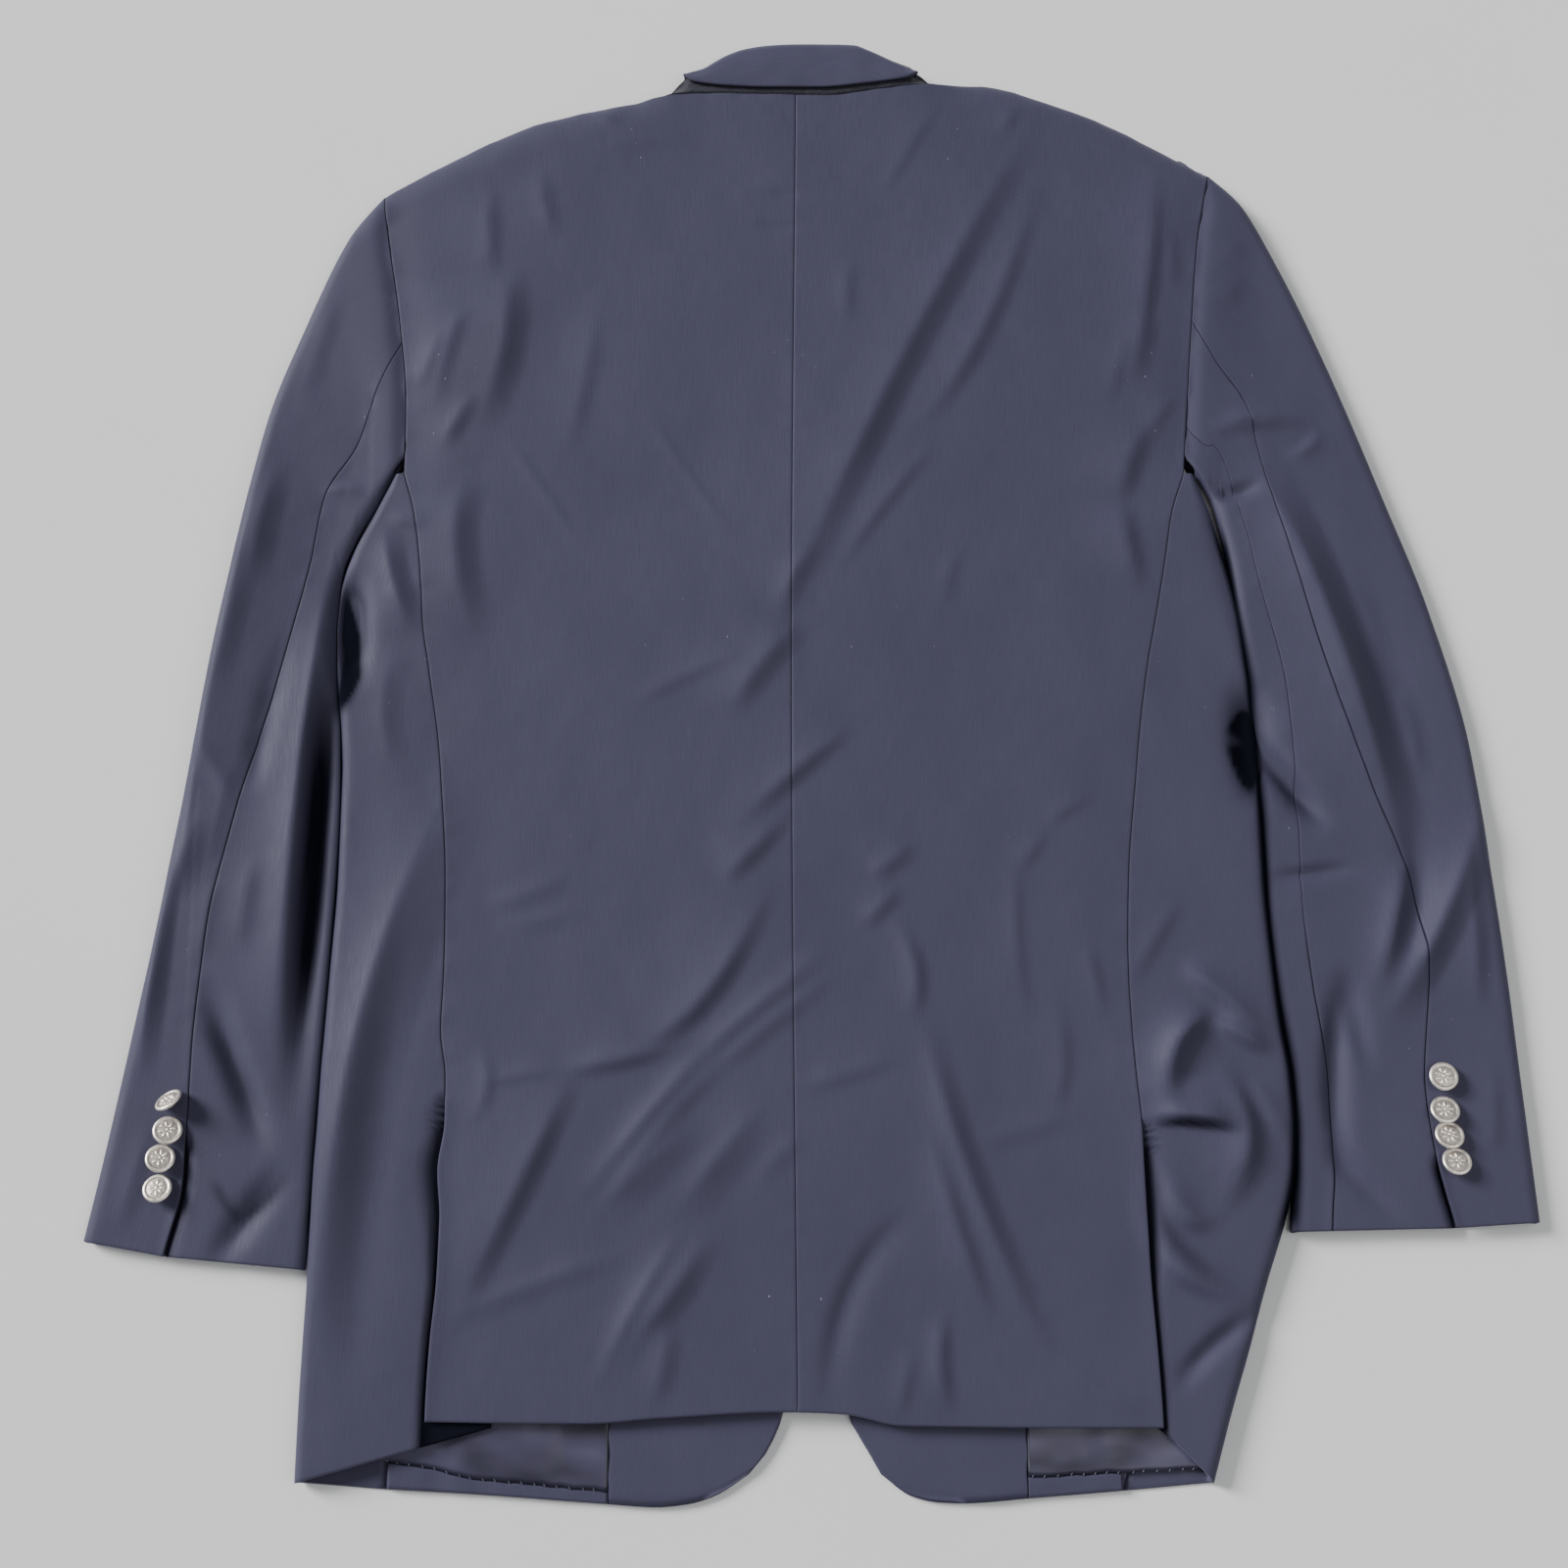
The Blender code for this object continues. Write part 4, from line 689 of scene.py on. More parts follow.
def spaced(length, pitch):
    """Places from 0 to a length, a pitch apart and closer together near both ends."""
    if length < 4 * RIM_STEPS[-1]:
        return np.linspace(0, length, max(4, int(length / 0.8)))
    middle = np.linspace(RIM_STEPS[-1], length - RIM_STEPS[-1], max(2, int(round(length / pitch))))
    return np.concatenate([RIM_STEPS[:-1], middle, length - RIM_STEPS[-2::-1]])


def spaced_shares(length, pitch):
    return spaced(length, pitch) / length


def roundness(distance, reach):
    """1 well inside a fold, falling along a quarter ellipse to 0 at the fold."""
    sharp = np.clip(1 - distance / reach, 0, 1)
    return np.sqrt(1 - sharp**2)


def rolled(distance, depth=ROLL_DEPTH):
    """How far a rim has sunk at a distance from its edge."""
    return depth * (1 - roundness(distance, ROLL_REACH))


def inked(distance, width=0.7):
    """The dark line in a seam: 1 on the rim and 0 past a width."""
    return 1 - ease(distance / width)


def puckers(distance, run, seed, height=0.3):
    """Small puckers that stitching draws into the cloth beside it."""
    return height * np.exp(-(distance / 5.0)**2) * soft_noise(run, 0 * run, 7.0, seed)


def patch(inner, outer, bottom, top):
    """Blend four edges, given as rows of points, into a sheet of plan points."""
    u = np.linspace(0, 1, len(bottom))[:, None, None]
    v = np.linspace(0, 1, len(inner))[None, :, None]
    if len(top) == len(bottom):
        u = share_of_length(bottom)[:, None, None]
        v = share_of_length(outer)[None, :, None]
    ruled = (1 - u) * inner[None] + u * outer[None]
    lofted = (1 - v) * bottom[:, None] + v * top[:, None]
    corners = ((1 - u) * (1 - v) * inner[0] + u * (1 - v) * outer[0]
               + (1 - u) * v * inner[-1] + u * v * outer[-1])
    return ruled + lofted - corners


def share_of_length(edge):
    """How far along an edge each of its points lies, from 0 to 1."""
    lengths = np.concatenate([[0], np.cumsum(np.linalg.norm(np.diff(edge, axis=0), axis=1))])
    return lengths / lengths[-1]


def stack(x, y):
    """Plan points from one x or many, and as many y."""
    return np.stack([np.broadcast_to(x, np.shape(y)), y], axis=-1)


def measure(sheet):
    """Cut size of a grid of points: its widest girth, its longest run and its area, in metres."""
    girth = np.linalg.norm(np.diff(sheet, axis=0), axis=2).sum(axis=0).max() * MM
    run = np.linalg.norm(np.diff(sheet, axis=1), axis=2).sum(axis=1).max() * MM
    first = sheet[1:, :-1] - sheet[:-1, :-1]
    second = sheet[:-1, 1:] - sheet[:-1, :-1]
    area = np.linalg.norm(np.cross(first, second), axis=2).sum() * MM**2
    return girth, run, min(area, girth * run)


def outward(sheet, face_up):
    """The direction that each point of a sheet faces."""
    normals = np.cross(np.gradient(sheet, axis=0), np.gradient(sheet, axis=1))
    normals /= np.maximum(np.linalg.norm(normals, axis=2, keepdims=True), 1e-9)
    if (normals[0, :, 2].mean() > 0) != face_up:
        normals = -normals
    return normals


def finished(builder, name, material):
    """Make mesh code a piece of the scene."""
    mesh = bpy.data.meshes.new(name)
    builder.to_mesh(mesh)
    builder.free()
    mesh.materials.append(material)
    piece = bpy.data.objects.new(name, mesh)
    bpy.context.scene.collection.objects.link(piece)
    return piece


def shell(name, sheet, material, wall=WALL, face_up=True, seam=None, inside=None):
    """Close a wall of cloth behind a grid of points."""
    across, along = sheet.shape[:2]
    if inside is None:
        inside = sheet - outward(sheet, face_up) * np.broadcast_to(wall, sheet.shape[:2])[..., None]
    girth = np.zeros((across, along))
    girth[1:] = np.cumsum(np.linalg.norm(np.diff(sheet, axis=0), axis=2), axis=0) * MM
    girth -= girth[across // 2]
    run = np.zeros((across, along))
    run[:, 1:] = np.cumsum(np.linalg.norm(np.diff(sheet, axis=1), axis=2), axis=1).mean(axis=0) * MM
    seam = np.zeros((across, along)) if seam is None else seam
    builder = bmesh.new()
    bmesh.ops.create_grid(builder, x_segments=across - 1, y_segments=along - 1, size=1.0)
    key = builder.verts.layers.int.new("key")
    # Each point keeps its seam line and its painted shade in the seam attribute.
    seam_and_shade_layer = builder.verts.layers.float.new("seam")
    for vert in builder.verts:
        column = round((vert.co.x + 1) / 2 * (across - 1))
        row = round((vert.co.y + 1) / 2 * (along - 1))
        vert[key] = column * along + row
    second = bmesh.ops.extrude_face_region(builder, geom=builder.faces[:])["geom"]
    moved = {part for part in second if isinstance(part, bmesh.types.BMVert)}
    for vert in builder.verts:
        column, row = divmod(vert[key], along)
        vert.co = (inside if vert in moved else sheet)[column, row] * MM
        vert[seam_and_shade_layer] = seam[column, row]
    bmesh.ops.recalc_face_normals(builder, faces=builder.faces[:])
    if builder.calc_volume(signed=True) < 0:
        bmesh.ops.reverse_faces(builder, faces=builder.faces[:])
    cloth_map = builder.loops.layers.uv.new("cloth")
    for face in builder.faces:
        face.smooth = True
        for loop in face.loops:
            column, row = divmod(loop.vert[key], along)
            loop[cloth_map].uv = (girth[column, row], run[column, row])
    return finished(builder, name, material)


def dress(piece, node, sheet):
    """Let a shell stand for its solid, and state the size that its cloth was cut to."""
    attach(piece, "root")
    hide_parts(node)
    width, length, area = measure(sheet)
    faces = len(piece.data.polygons)
    print("%-20s cut %3.0f x %3.0f mm, %d faces" % (piece.name, width / MM, length / MM, faces))


# Strokes of painted shade: the colour darkens where the cloth folds in so deep that hardly any light gets
# down.
SHADES = (
    (-284, -222, -280.5, -85, -277.5, 12, -1, 5.5, 6.5), (-270, 80, -266, 52, -260, 26, -0.95, 3, 5),
    (-259, 28, -264, 12, -272, -6, -0.95, 4, 6), (-268, 60, -265, 34, -268, 8, -0.95, 6, 6),
    (252, 6, 251, -22, 250, -56, -1, 5, 9), (236, -17, 242, -32, 249, -50, -0.9, 5, 3),
    (236, -17, 243, -7, 251, 2, -0.85, 3, 5), (-338, -170, -318, -205, -298, -244, -0.35, 5, 5),
    (-326, -261, -318, -275, -307, -288, -0.35, 3, 3),
    (-312, -286, -298, -276, -283, -258, -0.5, 3.5, 3.5),
    (186, -235, 206, -233, 231, -238, -0.6, 1.6, 2.2), (190, -258, 192, -292, 226, -318, -0.3, 4, 4),
    (252, -20, 270, -46, 287, -68, -0.45, 4, 4),
)


# How far up each edge of the gap between body and sleeve the painted shade reaches.
GAP_SHADE = {"left": (0.9, 1.4), "right": (4.0, 5.4)}


def painted_gap_shade(from_fold, y, reach):
    """Painted shade in the gap between the body and a sleeve."""
    return 0.97 * (1 - ease((from_fold - 0.35 * reach) / reach)) * ease((y + 302) / 22) * ease((124 - y) / 30)


def painted_hollow_shade(x, y):
    """Painted shade: how much the colour darkens at the bottom of the hollows and the sharpest folds."""
    shade = np.clip(-crease_heights(x, y, SHADES), 0, 0.96)
    return np.maximum(shade, 0.35 * ease((-crease_heights(x, y, HOLLOWS) - 1.8) / 3.5))


print("a seam dips", ROLL_DEPTH, "mm within", ROLL_REACH, "mm of its rims")

# %% [markdown]
# The back is cut in two and joined down its centre. Each half is a patch between
# four curves: the centre seam, the side seam with the armhole above it, the hem,
# and the shoulder and neck edge. Below the vent its side edge is free, so it is
# pressed flat and lies over the side panel.

# %% Back
PITCH = 2.4


def make_back(side):
    sign = SIGN[side]
    hem_y = back_hem_y(seam_x[side](-390))
    shoulder_y = SHOULDER_Y[side]
    length = shoulder_y - hem_y
    width = abs(seam_x[side](-150) - centre_x(-150))
    run = spaced(length, PITCH)
    rows = run / length
    across = spaced_shares(width, PITCH)
    inner_y = mix(back_hem_y(sign * HALF_SEAM + centre_x(-390)), top_edge_y(centre_x(400)), rows)
    inner = stack(centre_x(inner_y) + sign * HALF_SEAM, inner_y)
    outer_y = mix(hem_y, shoulder_y, rows)
    outer = stack(side_of_body(outer_y, side) - sign * HALF_SEAM, outer_y)
    hem_x = mix(inner[0, 0], outer[0, 0], across)
    bottom = stack(hem_x, back_hem_y(hem_x))
    top_x = mix(inner[-1, 0], outer[-1, 0], across)
    top = stack(top_x, top_edge_y(top_x))
    inner[0], inner[-1], outer[0], outer[-1] = bottom[0], top[0], bottom[-1], top[-1]
    plan = patch(inner, outer, bottom, top)
    x, y = plan[..., 0], plan[..., 1]
    from_centre = np.abs(x - centre_x(y))
    from_side = np.abs(x - side_of_body(y, side))
    from_hem = (rows * length)[None, :] + 0 * x
    from_top = np.maximum(top_edge_y(x) - y, 0)
    at_vent = ease((VENT_TOP[side] + 4 - y) / 6)
    z = body_height(x, y) - rolled(from_centre) - rolled(from_side) - rolled(from_hem, 1.0)
    z = z + puckers(from_centre, y, 11, 0.16) + puckers(from_side, y, 12, 0.3) * (1 - at_vent)
    neck = ease((-x + 92) / 8) * ease((x + 98) / 8)
    z = z - rolled(from_top) * neck + puckers(from_top, x, 13, 0.4)
    z = z + at_vent * 0.5 * np.exp(-(from_side / 5.0)**2)
    z = z + at_vent * 0.25 * soft_noise(y, 0 * y, 30, 14) * np.exp(-(from_side / 9.0)**2)
    sheet = np.dstack([plan, z])
    line = np.maximum(0.36 * inked(from_centre), 0.8 * inked(from_side) * (1 - at_vent))
    line = np.maximum(line, inked(from_top) * neck)
    piece = shell("cloth_back_" + side, sheet, worsted, seam=0.6 * line)
    dress(piece, "back_" + side, sheet)


for side in SIGN:
    make_back(side)

# %% [markdown]
# A side panel starts at the back's side seam, turns over the side fold and ends
# on the underside. Below the vent it carries on under the back, one step lower,
# so that the back's edge throws a thin shadow on it. Painted shade in the colour
# deepens that shadow and the gap beside the sleeve.

# %% Side panels
fold_reach = curves("left right", (
    (-420, 5, 5), (-330, 6, 7), (-120, 6, 8), (10, 7, 7), (70, 7, 14), (110, 6, 12), (143, 5, 5),
))
UNDERLAP = 35.0
SIDE_WIDTH = 62.0  # about, for the number of rows
PRESS = {"left": 1.0, "right": 2.2}
VENT_STEP = 2.9
LAP_SHARE = 0.4    # the rows that crowd under the back and just beside it
LAP_REACH = 13.0
FAR = 99.0         # too far from a rim to be rolled or inked


def make_side(side):
    """A side panel: from the back seam over the top, round the side fold and underneath."""
    sign = SIGN[side]
    hem = SIDE_HEM[side]
    top_y = ARMPIT_Y - SEAM
    length = top_y - hem["seam"]
    run = spaced(length, PITCH)
    rows = run / length
    levels = {key: mix(hem[key], top_y, rows) for key in hem}
    fold = fold_x[side](levels["fold"])
    fold = fold + sign * PRESS[side] * ease((levels["fold"] + 330) / 60) * ease((110 - levels["fold"]) / 60)
    below_vent = ease((VENT_TOP[side] - levels["seam"]) / 10)
    width = np.abs(fold - seam_x[side](levels["seam"]))
    under = np.abs(fold - under_seam_x[side](levels["under"]))
    reach = np.minimum(fold_reach[side](levels["fold"]), 0.55 * np.minimum(width, under))
    to_seam = width - HALF_SEAM
    shares = spaced(SIDE_WIDTH, 2.6)[:-4] / spaced(SIDE_WIDTH, 2.6)[-5]
    plain = (to_seam - reach) * shares[:, None]
    lapped = np.interp(shares, (0, 0.15, LAP_SHARE), (-UNDERLAP, -2.0, LAP_REACH))[:, None] + 0 * to_seam
    past = shares[:, None] > LAP_SHARE
    beyond_lap = (to_seam - reach - LAP_REACH) * (shares[:, None] - LAP_SHARE) / 0.6
    lapped = np.where(past, LAP_REACH + beyond_lap, lapped)
    from_seam = mix(plain, lapped, below_vent)
    turn = FOLD_TURN[1:, None]
    on_top_part = to_seam - from_seam
    over = reach * turn[::-1][1:]
    below = reach * turn
    beyond = reach + (under - reach) * np.linspace(0, 1, 9)[1:, None]
    from_fold = np.concatenate([on_top_part, over, 0 * to_seam[None], below, beyond])
    on_top = np.arange(len(from_fold))[:, None] < len(on_top_part) + len(over) + 1
    share = np.where(on_top, 1 - from_fold / from_fold[0], from_fold / under)
    bow = np.clip(share, 0, 1)**HEM_BOW[side]
    y = np.where(on_top, mix(levels["seam"], levels["fold"], bow),
                 mix(levels["fold"], levels["under"], share))
    x = fold - sign * from_fold
    inward = sign * (seam_x[side](y) - x)
    under_back = ease(inward / 8)
    top = mix(body_height(x, y), body_height(x, y, with_folds=False), under_back)
    opening = 4.0 + 9.0 * np.exp(-((y - VENT_TOP[side] + 42) / 34.0)**2)
    drop = (1 - ease(-inward / opening)) * ease((VENT_TOP[side] + 6 - y) / 12)
    top = top - VENT_STEP * drop
    lapping = (y < VENT_TOP[side]) & (inward > -3)
    from_side = np.where(lapping | ~on_top, FAR, np.abs(inward))
    top = top - rolled(from_side) + puckers(from_side, y, 12, 0.3)
    underside = resting_rise(x, y)
    middle = (top + underside) / 2
    z = middle + np.where(on_top, top - middle, underside - middle) * roundness(from_fold, reach)
    from_hem = run[None, :] + 0 * x
    z = z - np.where(on_top, 1, -1) * rolled(from_hem, 1.0) * roundness(from_fold, reach)
    sheet = np.dstack([x, y, z])
    # Painted shade: the colour darkens in the vent's opening under the back's edge and in the gap beside the
    # sleeve.
    painted_vent_and_gap_shade = (1 - ease((-inward - 2.0) / (0.6 * opening))) * ease((VENT_TOP[side] + 4 - y) / 12) * on_top
    painted_vent_and_gap_shade = np.maximum(0.92 * painted_vent_and_gap_shade, painted_gap_shade(from_fold, y, GAP_SHADE[side][0]))
    line = np.maximum(0.5 * inked(from_side), np.maximum(painted_hollow_shade(x, y) * on_top, painted_vent_and_gap_shade))
    piece = shell("cloth_side_" + side, sheet, worsted, seam=line)
    dress(piece, "side_" + side, sheet)


for side in SIGN:
    make_side(side)

# %% [markdown]
# The fronts lie underneath and only show as a strip inside the hem. They are
# stiffened with canvas, so their walls are thicker towards the chest. Their
# edges run from the rounded hem corner up to the top button, and from there on
# along the lapel's roll.

# %% Fronts
# Front edge from the rounded hem corner up to the top button, then the lapel's roll.
front_edge_x = curves("left right", (
    (-416, -34, 36), (-404, -24, 29), (-386, -16, 19), (-340, -8, 11), (-300, -2, 4), (-260, 5, -4),
    (-190, 18, -18), (-54, 18, -18),
))

FRONT_HEM = {
    "left": ((-273, -420.0), (-232, -423.0), (-179, -426.0), (-107, -431.0),
             (-82, -432.5), (-66, -431.0), (-52, -427.0), (-34, -416.0)),
    "right": ((36, -416.0), (52, -427.0), (66, -430.0), (79, -430.5),
              (115, -428.0), (154, -425.0), (211, -420.0)),
}

# Where the facing meets the lining, and the height of the turned-up hem beside it.
FACING_X = {"left": -108.0, "right": 113.5}
HEM_STRIP = {
    "left": ((-236, 15.0), (-203, 12.0), (-176, 8.0), (-109, 6.5)),
    "right": ((113, 11.0), (148, 10.0), (178, 8.5), (207, 7.5)),
}
INSIDE_TOP_Y = -352.0

# Lapel: the roll line and the outer edge, as distances from the middle.
lapel_roll, lapel_edge = curves("roll edge", (
    (-54, 8, 13), (50, 24, 58), (150, 40, 94), (240, 55, 133), (285, 63, 151), (340, 73, 126),
    (396, 84, 118),
)).values()
NOTCH = (151.0, 279.0)
GORGE = (73.0, 338.0)

# The felt's upper edge, under the collar over the back neck.
felt_y = curves("felt", (
    (-90, 397.7), (-76, 404.5), (-63, 410), (-46, 419.5), (-31, 423.5), (-15, 425.5), (10, 426),
    (28, 425.5), (40, 421.5), (52, 415), (66, 408.8), (82, 404.4),
))["felt"]
front_hem_y = {side: curve(*np.array(FRONT_HEM[side]).T) for side in SIGN}
hem_strip = {side: curve(*np.array(HEM_STRIP[side]).T) for side in SIGN}
FRONT_CORNER_Y = -416.0


def front_wall(x, y):
    """Thickness of a front, thinner at its edge, its hem and its shoulder seam."""
    inside = ease((np.abs(x) - 30) / 40)
    from_shoulder = ease((top_edge_y(x) - y) / 40)
    return FRONT_AT_EDGE + (front_wall_at(y) - FRONT_AT_EDGE) * inside * from_shoulder


def overlap_rise(x, y):
    """Lift of the right front where it lies on the left one."""
    beside = 1 - ease((x - 26) / 40)
    below = ease((y + 330) / 32)
    above = 1 - ease((y - 10) / 60)
    return (FRONT_AT_EDGE + 2 * REST) * beside * below * above


def front_underside(side, x, y):
    """Height of a front's outer face, which looks at the floor."""
    rise = resting_rise(x, y)
    return rise + overlap_rise(x, y) if side == "right" else rise


def front_plan(side, rows, across):
    """Plan points of a front, from the side seam underneath to the front edge."""
    sign = SIGN[side]
    hem_y = SIDE_HEM[side]["under"]
    shoulder_y = SHOULDER_Y[side]
    outer_y = mix(hem_y, shoulder_y, rows)
    below = under_seam_x[side](outer_y) - sign * SEAM
    above = armhole_x[side](outer_y) - sign * HALF_SEAM
    outer = stack(np.where(outer_y < ARMPIT_Y - 1, below, above), outer_y)
    neck_x = NECK_X[side]
    neck_y = top_edge_y(neck_x) - SEAM
    inner_y = mix(FRONT_CORNER_Y, neck_y, rows)
    along_roll = ease((inner_y - BREAK_Y) / 40)
    at_neck = ease((inner_y - 300) / (neck_y - 300)) * (neck_x - sign * lapel_roll(neck_y))
    inner_x = mix(front_edge_x[side](inner_y), sign * lapel_roll(inner_y), along_roll)
    inner = stack(inner_x + at_neck, inner_y)
    hem_x = mix(outer[0, 0], inner[0, 0], across)
    bottom = stack(hem_x, front_hem_y[side](hem_x))
    top_x = mix(outer[-1, 0], inner[-1, 0], across)
    top = stack(top_x, top_edge_y(top_x) - SEAM)
    outer[0], outer[-1], inner[0], inner[-1] = bottom[0], top[0], bottom[-1], top[-1]
    return patch(outer, inner, bottom, top)


def make_front(side):
    plan = front_plan(side, spaced_shares(750.0, 7.0), spaced_shares(220.0, 5.0))
    x, y = plan[..., 0], plan[..., 1]
    bottom = front_underside(side, x, y)
    under = np.dstack([plan, bottom])
    upper = np.dstack([plan, bottom + front_wall(x, y)])
    rim = np.minimum(np.abs(x - plan[-1:, :, 0]), (y - plan[:, :1, 1]))
    under[..., 2] += rolled(np.abs(rim), 0.8)
    upper[..., 2] -= rolled(np.abs(rim), 0.8)
    piece = shell("cloth_front_" + side, under, worsted, inside=upper)
    dress(piece, "front_" + side, under)
    return piece


print("front wall at the chest:", round(float(front_wall(np.array([100.0]), np.array([150.0]))[0]), 1), "mm")

# %% [markdown]
# Below the back's hem the fronts show their inside: the facing towards the front
# edge, the satin lining, and the hem turned up and felled to it by hand. The
# lining hangs a little loose, so it ripples, and the felling pulls small puckers.

# %% Facing, lining and turned-up hem
LINING_WALL = 1.0
LINING_FAR_X = {"left": -236.0, "right": 205.0}
EDGE_INSET = 0.6
INSIDE_ROWS = np.linspace(0, 1, 24)


def flat_piece(name, plan, bottom, wall, material, seam=None, wave=0.0):
    """A piece that lies flat, its upper face rippled a little."""
    low = np.dstack([plan, np.broadcast_to(bottom, plan.shape[:2])])
    high = low.copy()
    high[..., 2] += wall + wave
    return shell(name, high, material, inside=low, seam=seam), high


def felled_y(side, x):
    """The upper edge of the turned-up hem, where the lining is felled to it."""
    return front_hem_y[side](x) + hem_strip[side](x) + 0.35 * soft_noise(x, 0 * x, 6.0, 21)


def make_lining(side):
    facing_x = FACING_X[side]
    xs = np.linspace(LINING_FAR_X[side], facing_x + SIGN[side] * SEAM, 70)
    seam_y = felled_y(side, xs)
    plan = np.stack([stack(x, mix(low + SEAM, INSIDE_TOP_Y, INSIDE_ROWS)) for x, low in zip(xs, seam_y)])
    x, y = plan[..., 0], plan[..., 1]
    from_seam = y - seam_y[:, None]
    wave = 0.9 * soft_noise(x, y * 0.35, 13, 22) * ease(from_seam / 7)
    wave = wave + 0.4 * np.exp(-((from_seam - 3.2) / 2.2)**2)
    wave = wave + 0.7 * soft_noise(0.7 * x + y, 0.4 * y, 30, 23) * ease(from_seam / 12)
    line = 0.7 * np.maximum(inked(np.abs(x - facing_x), 1.1), inked(from_seam, 1.0))
    piece, high = flat_piece("satin_lining_" + side, plan, FRONT_AT_EDGE + REST, LINING_WALL, satin,
                             line, wave)
    dress(piece, "lining_" + side, high)


def make_hem_strip(side):
    """The hem turned up at the front's lower edge. It is one cloth with the front."""
    hem = front_hem_y[side]
    far_x = under_seam_x[side](SIDE_HEM[side]["under"]) - SIGN[side] * EDGE_INSET
    xs = np.linspace(far_x, FACING_X[side] + SIGN[side] * SEAM, 80)
    rows = spaced_shares(10.0, 1.0)
    upper = felled_y(side, xs)
    plan = np.stack([stack(x, mix(hem(x) + 0.4, end, rows)) for x, end in zip(xs, upper)])
    x, y = plan[..., 0], plan[..., 1]
    from_upper = upper[:, None] - y
    wave = 0.35 * soft_noise(x, y, 11, 24) - rolled(from_upper, 0.7) - rolled(y - plan[:, :1, 1], 0.9)
    piece, _ = flat_piece("turned_up_hem_" + side, plan, FRONT_AT_EDGE - 0.6, 2.0, worsted,
                          0.8 * inked(from_upper, 0.8), wave)
    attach(piece, "root")
    return piece


def make_facing(side):
    facing_x = FACING_X[side]
    inset = SIGN[side] * EDGE_INSET
    shares = spaced_shares(80.0, 2.6)
    lower_x = mix(facing_x, front_edge_x[side](FRONT_CORNER_Y) + inset, shares)
    lower = stack(lower_x, front_hem_y[side](lower_x) + 0.5)
    edge_y = np.linspace(FRONT_CORNER_Y + EDGE_INSET, INSIDE_TOP_Y, len(INSIDE_ROWS))
    edge = stack(front_edge_x[side](edge_y) + inset, edge_y)
    wobble = 0.5 * soft_noise(edge_y, 0 * edge_y, 9.0, 25) * ease((edge_y - FRONT_CORNER_Y) / 12)
    seam = stack(facing_x + wobble, mix(lower[0, 1], INSIDE_TOP_Y, INSIDE_ROWS))
    upper = stack(mix(facing_x, edge[-1, 0], shares), np.full(len(shares), INSIDE_TOP_Y))
    edge[0] = lower[-1]
    seam[-1] = upper[0]
    plan = patch(seam, edge, lower, upper)
    x, y = plan[..., 0], plan[..., 1]
    from_seam = np.abs(x - plan[:1, :, 0])
    from_rim = np.minimum(np.abs(y - plan[:, :1, 1]), np.abs(x - plan[-1:, :, 0]))
    wave = 0.5 * soft_noise(x, y, 24, 26) - rolled(from_seam) - rolled(from_rim, 0.8)
    bottom = front_underside(side, x, y) + FRONT_AT_EDGE + REST
    piece, high = flat_piece("cloth_facing_" + side, plan, bottom, LINING_WALL, worsted,
                             0.8 * inked(from_seam), wave)
    dress(piece, "facing_" + side, high)


for side in SIGN:
    make_lining(side)
    strip = make_hem_strip(side)
    make_facing(side)
    make_front(side)

# %% [markdown]
# Each sleeve is a flattened tube of two panels. Its sections run from the outer
# fold over the top to the inner fold, and back underneath. They are read from a
# table by their share of the length, and the girth along them gives each
# panel's place. The first section bends to the armhole.

# %% Sleeve sections
# Sections of the sleeves from the armhole to the cuff, through the outer fold,
# the back sleeve seam and the inner fold.
SLEEVE = "outer_x outer_y seam_x seam_y inner_x inner_y height"
SLEEVE_ROWS = {
    "left": (
        (0.00, -258, 324, -244, 226, -244.4, 143.8, 12),
        (0.08, -278, 296, -255, 200, -252.4, 126, 11.4),
        (0.18, -301, 240, -266, 162, -263.4, 104, 10.6), (0.30, -320, 182, -284, 128, -272.4, 76, 10),
        (0.42, -333, 108, -290, 88, -274, 40, 9.6), (0.54, -345, 30, -307, 10, -268.6, -10, 9.4),
        (0.66, -357, -60, -325, -62, -266.2, -72, 9.4),
        (0.76, -366, -128, -337, -128, -267.6, -134, 9.4),
        (0.86, -378, -202, -341, -198, -270, -210, 9.4),
        (0.94, -387, -258, -341, -262, -271.8, -268, 9.2),
        (1.00, -393.8, -296, -349, -304, -273.2, -311, 9),
    ),
    "right": (
        (0.00, 243, 338, 228, 240, 226, 143.8, 12), (0.08, 262, 318, 241, 214, 235.2, 126, 11.4),
        (0.18, 283, 276, 258, 186, 239.8, 104, 10.6), (0.30, 307, 216, 266, 146, 245.2, 76, 10),
        (0.42, 335, 134, 280, 84, 249.6, 40, 9.6), (0.52, 359, 58, 297, 16, 252.6, 4, 9.4),
        (0.62, 376, -20, 317, -46, 255, -52, 9.4), (0.72, 383, -98, 337, -104, 254.6, -108, 9.4),
        (0.80, 387, -153, 342, -152, 257.8, -158, 9.4), (0.88, 390, -213, 336, -212, 264, -213, 9.4),
        (0.94, 392, -250, 339, -250, 264, -252, 9.2), (1.00, 394, -286, 347, -289, 260, -291, 9),
    ),
}
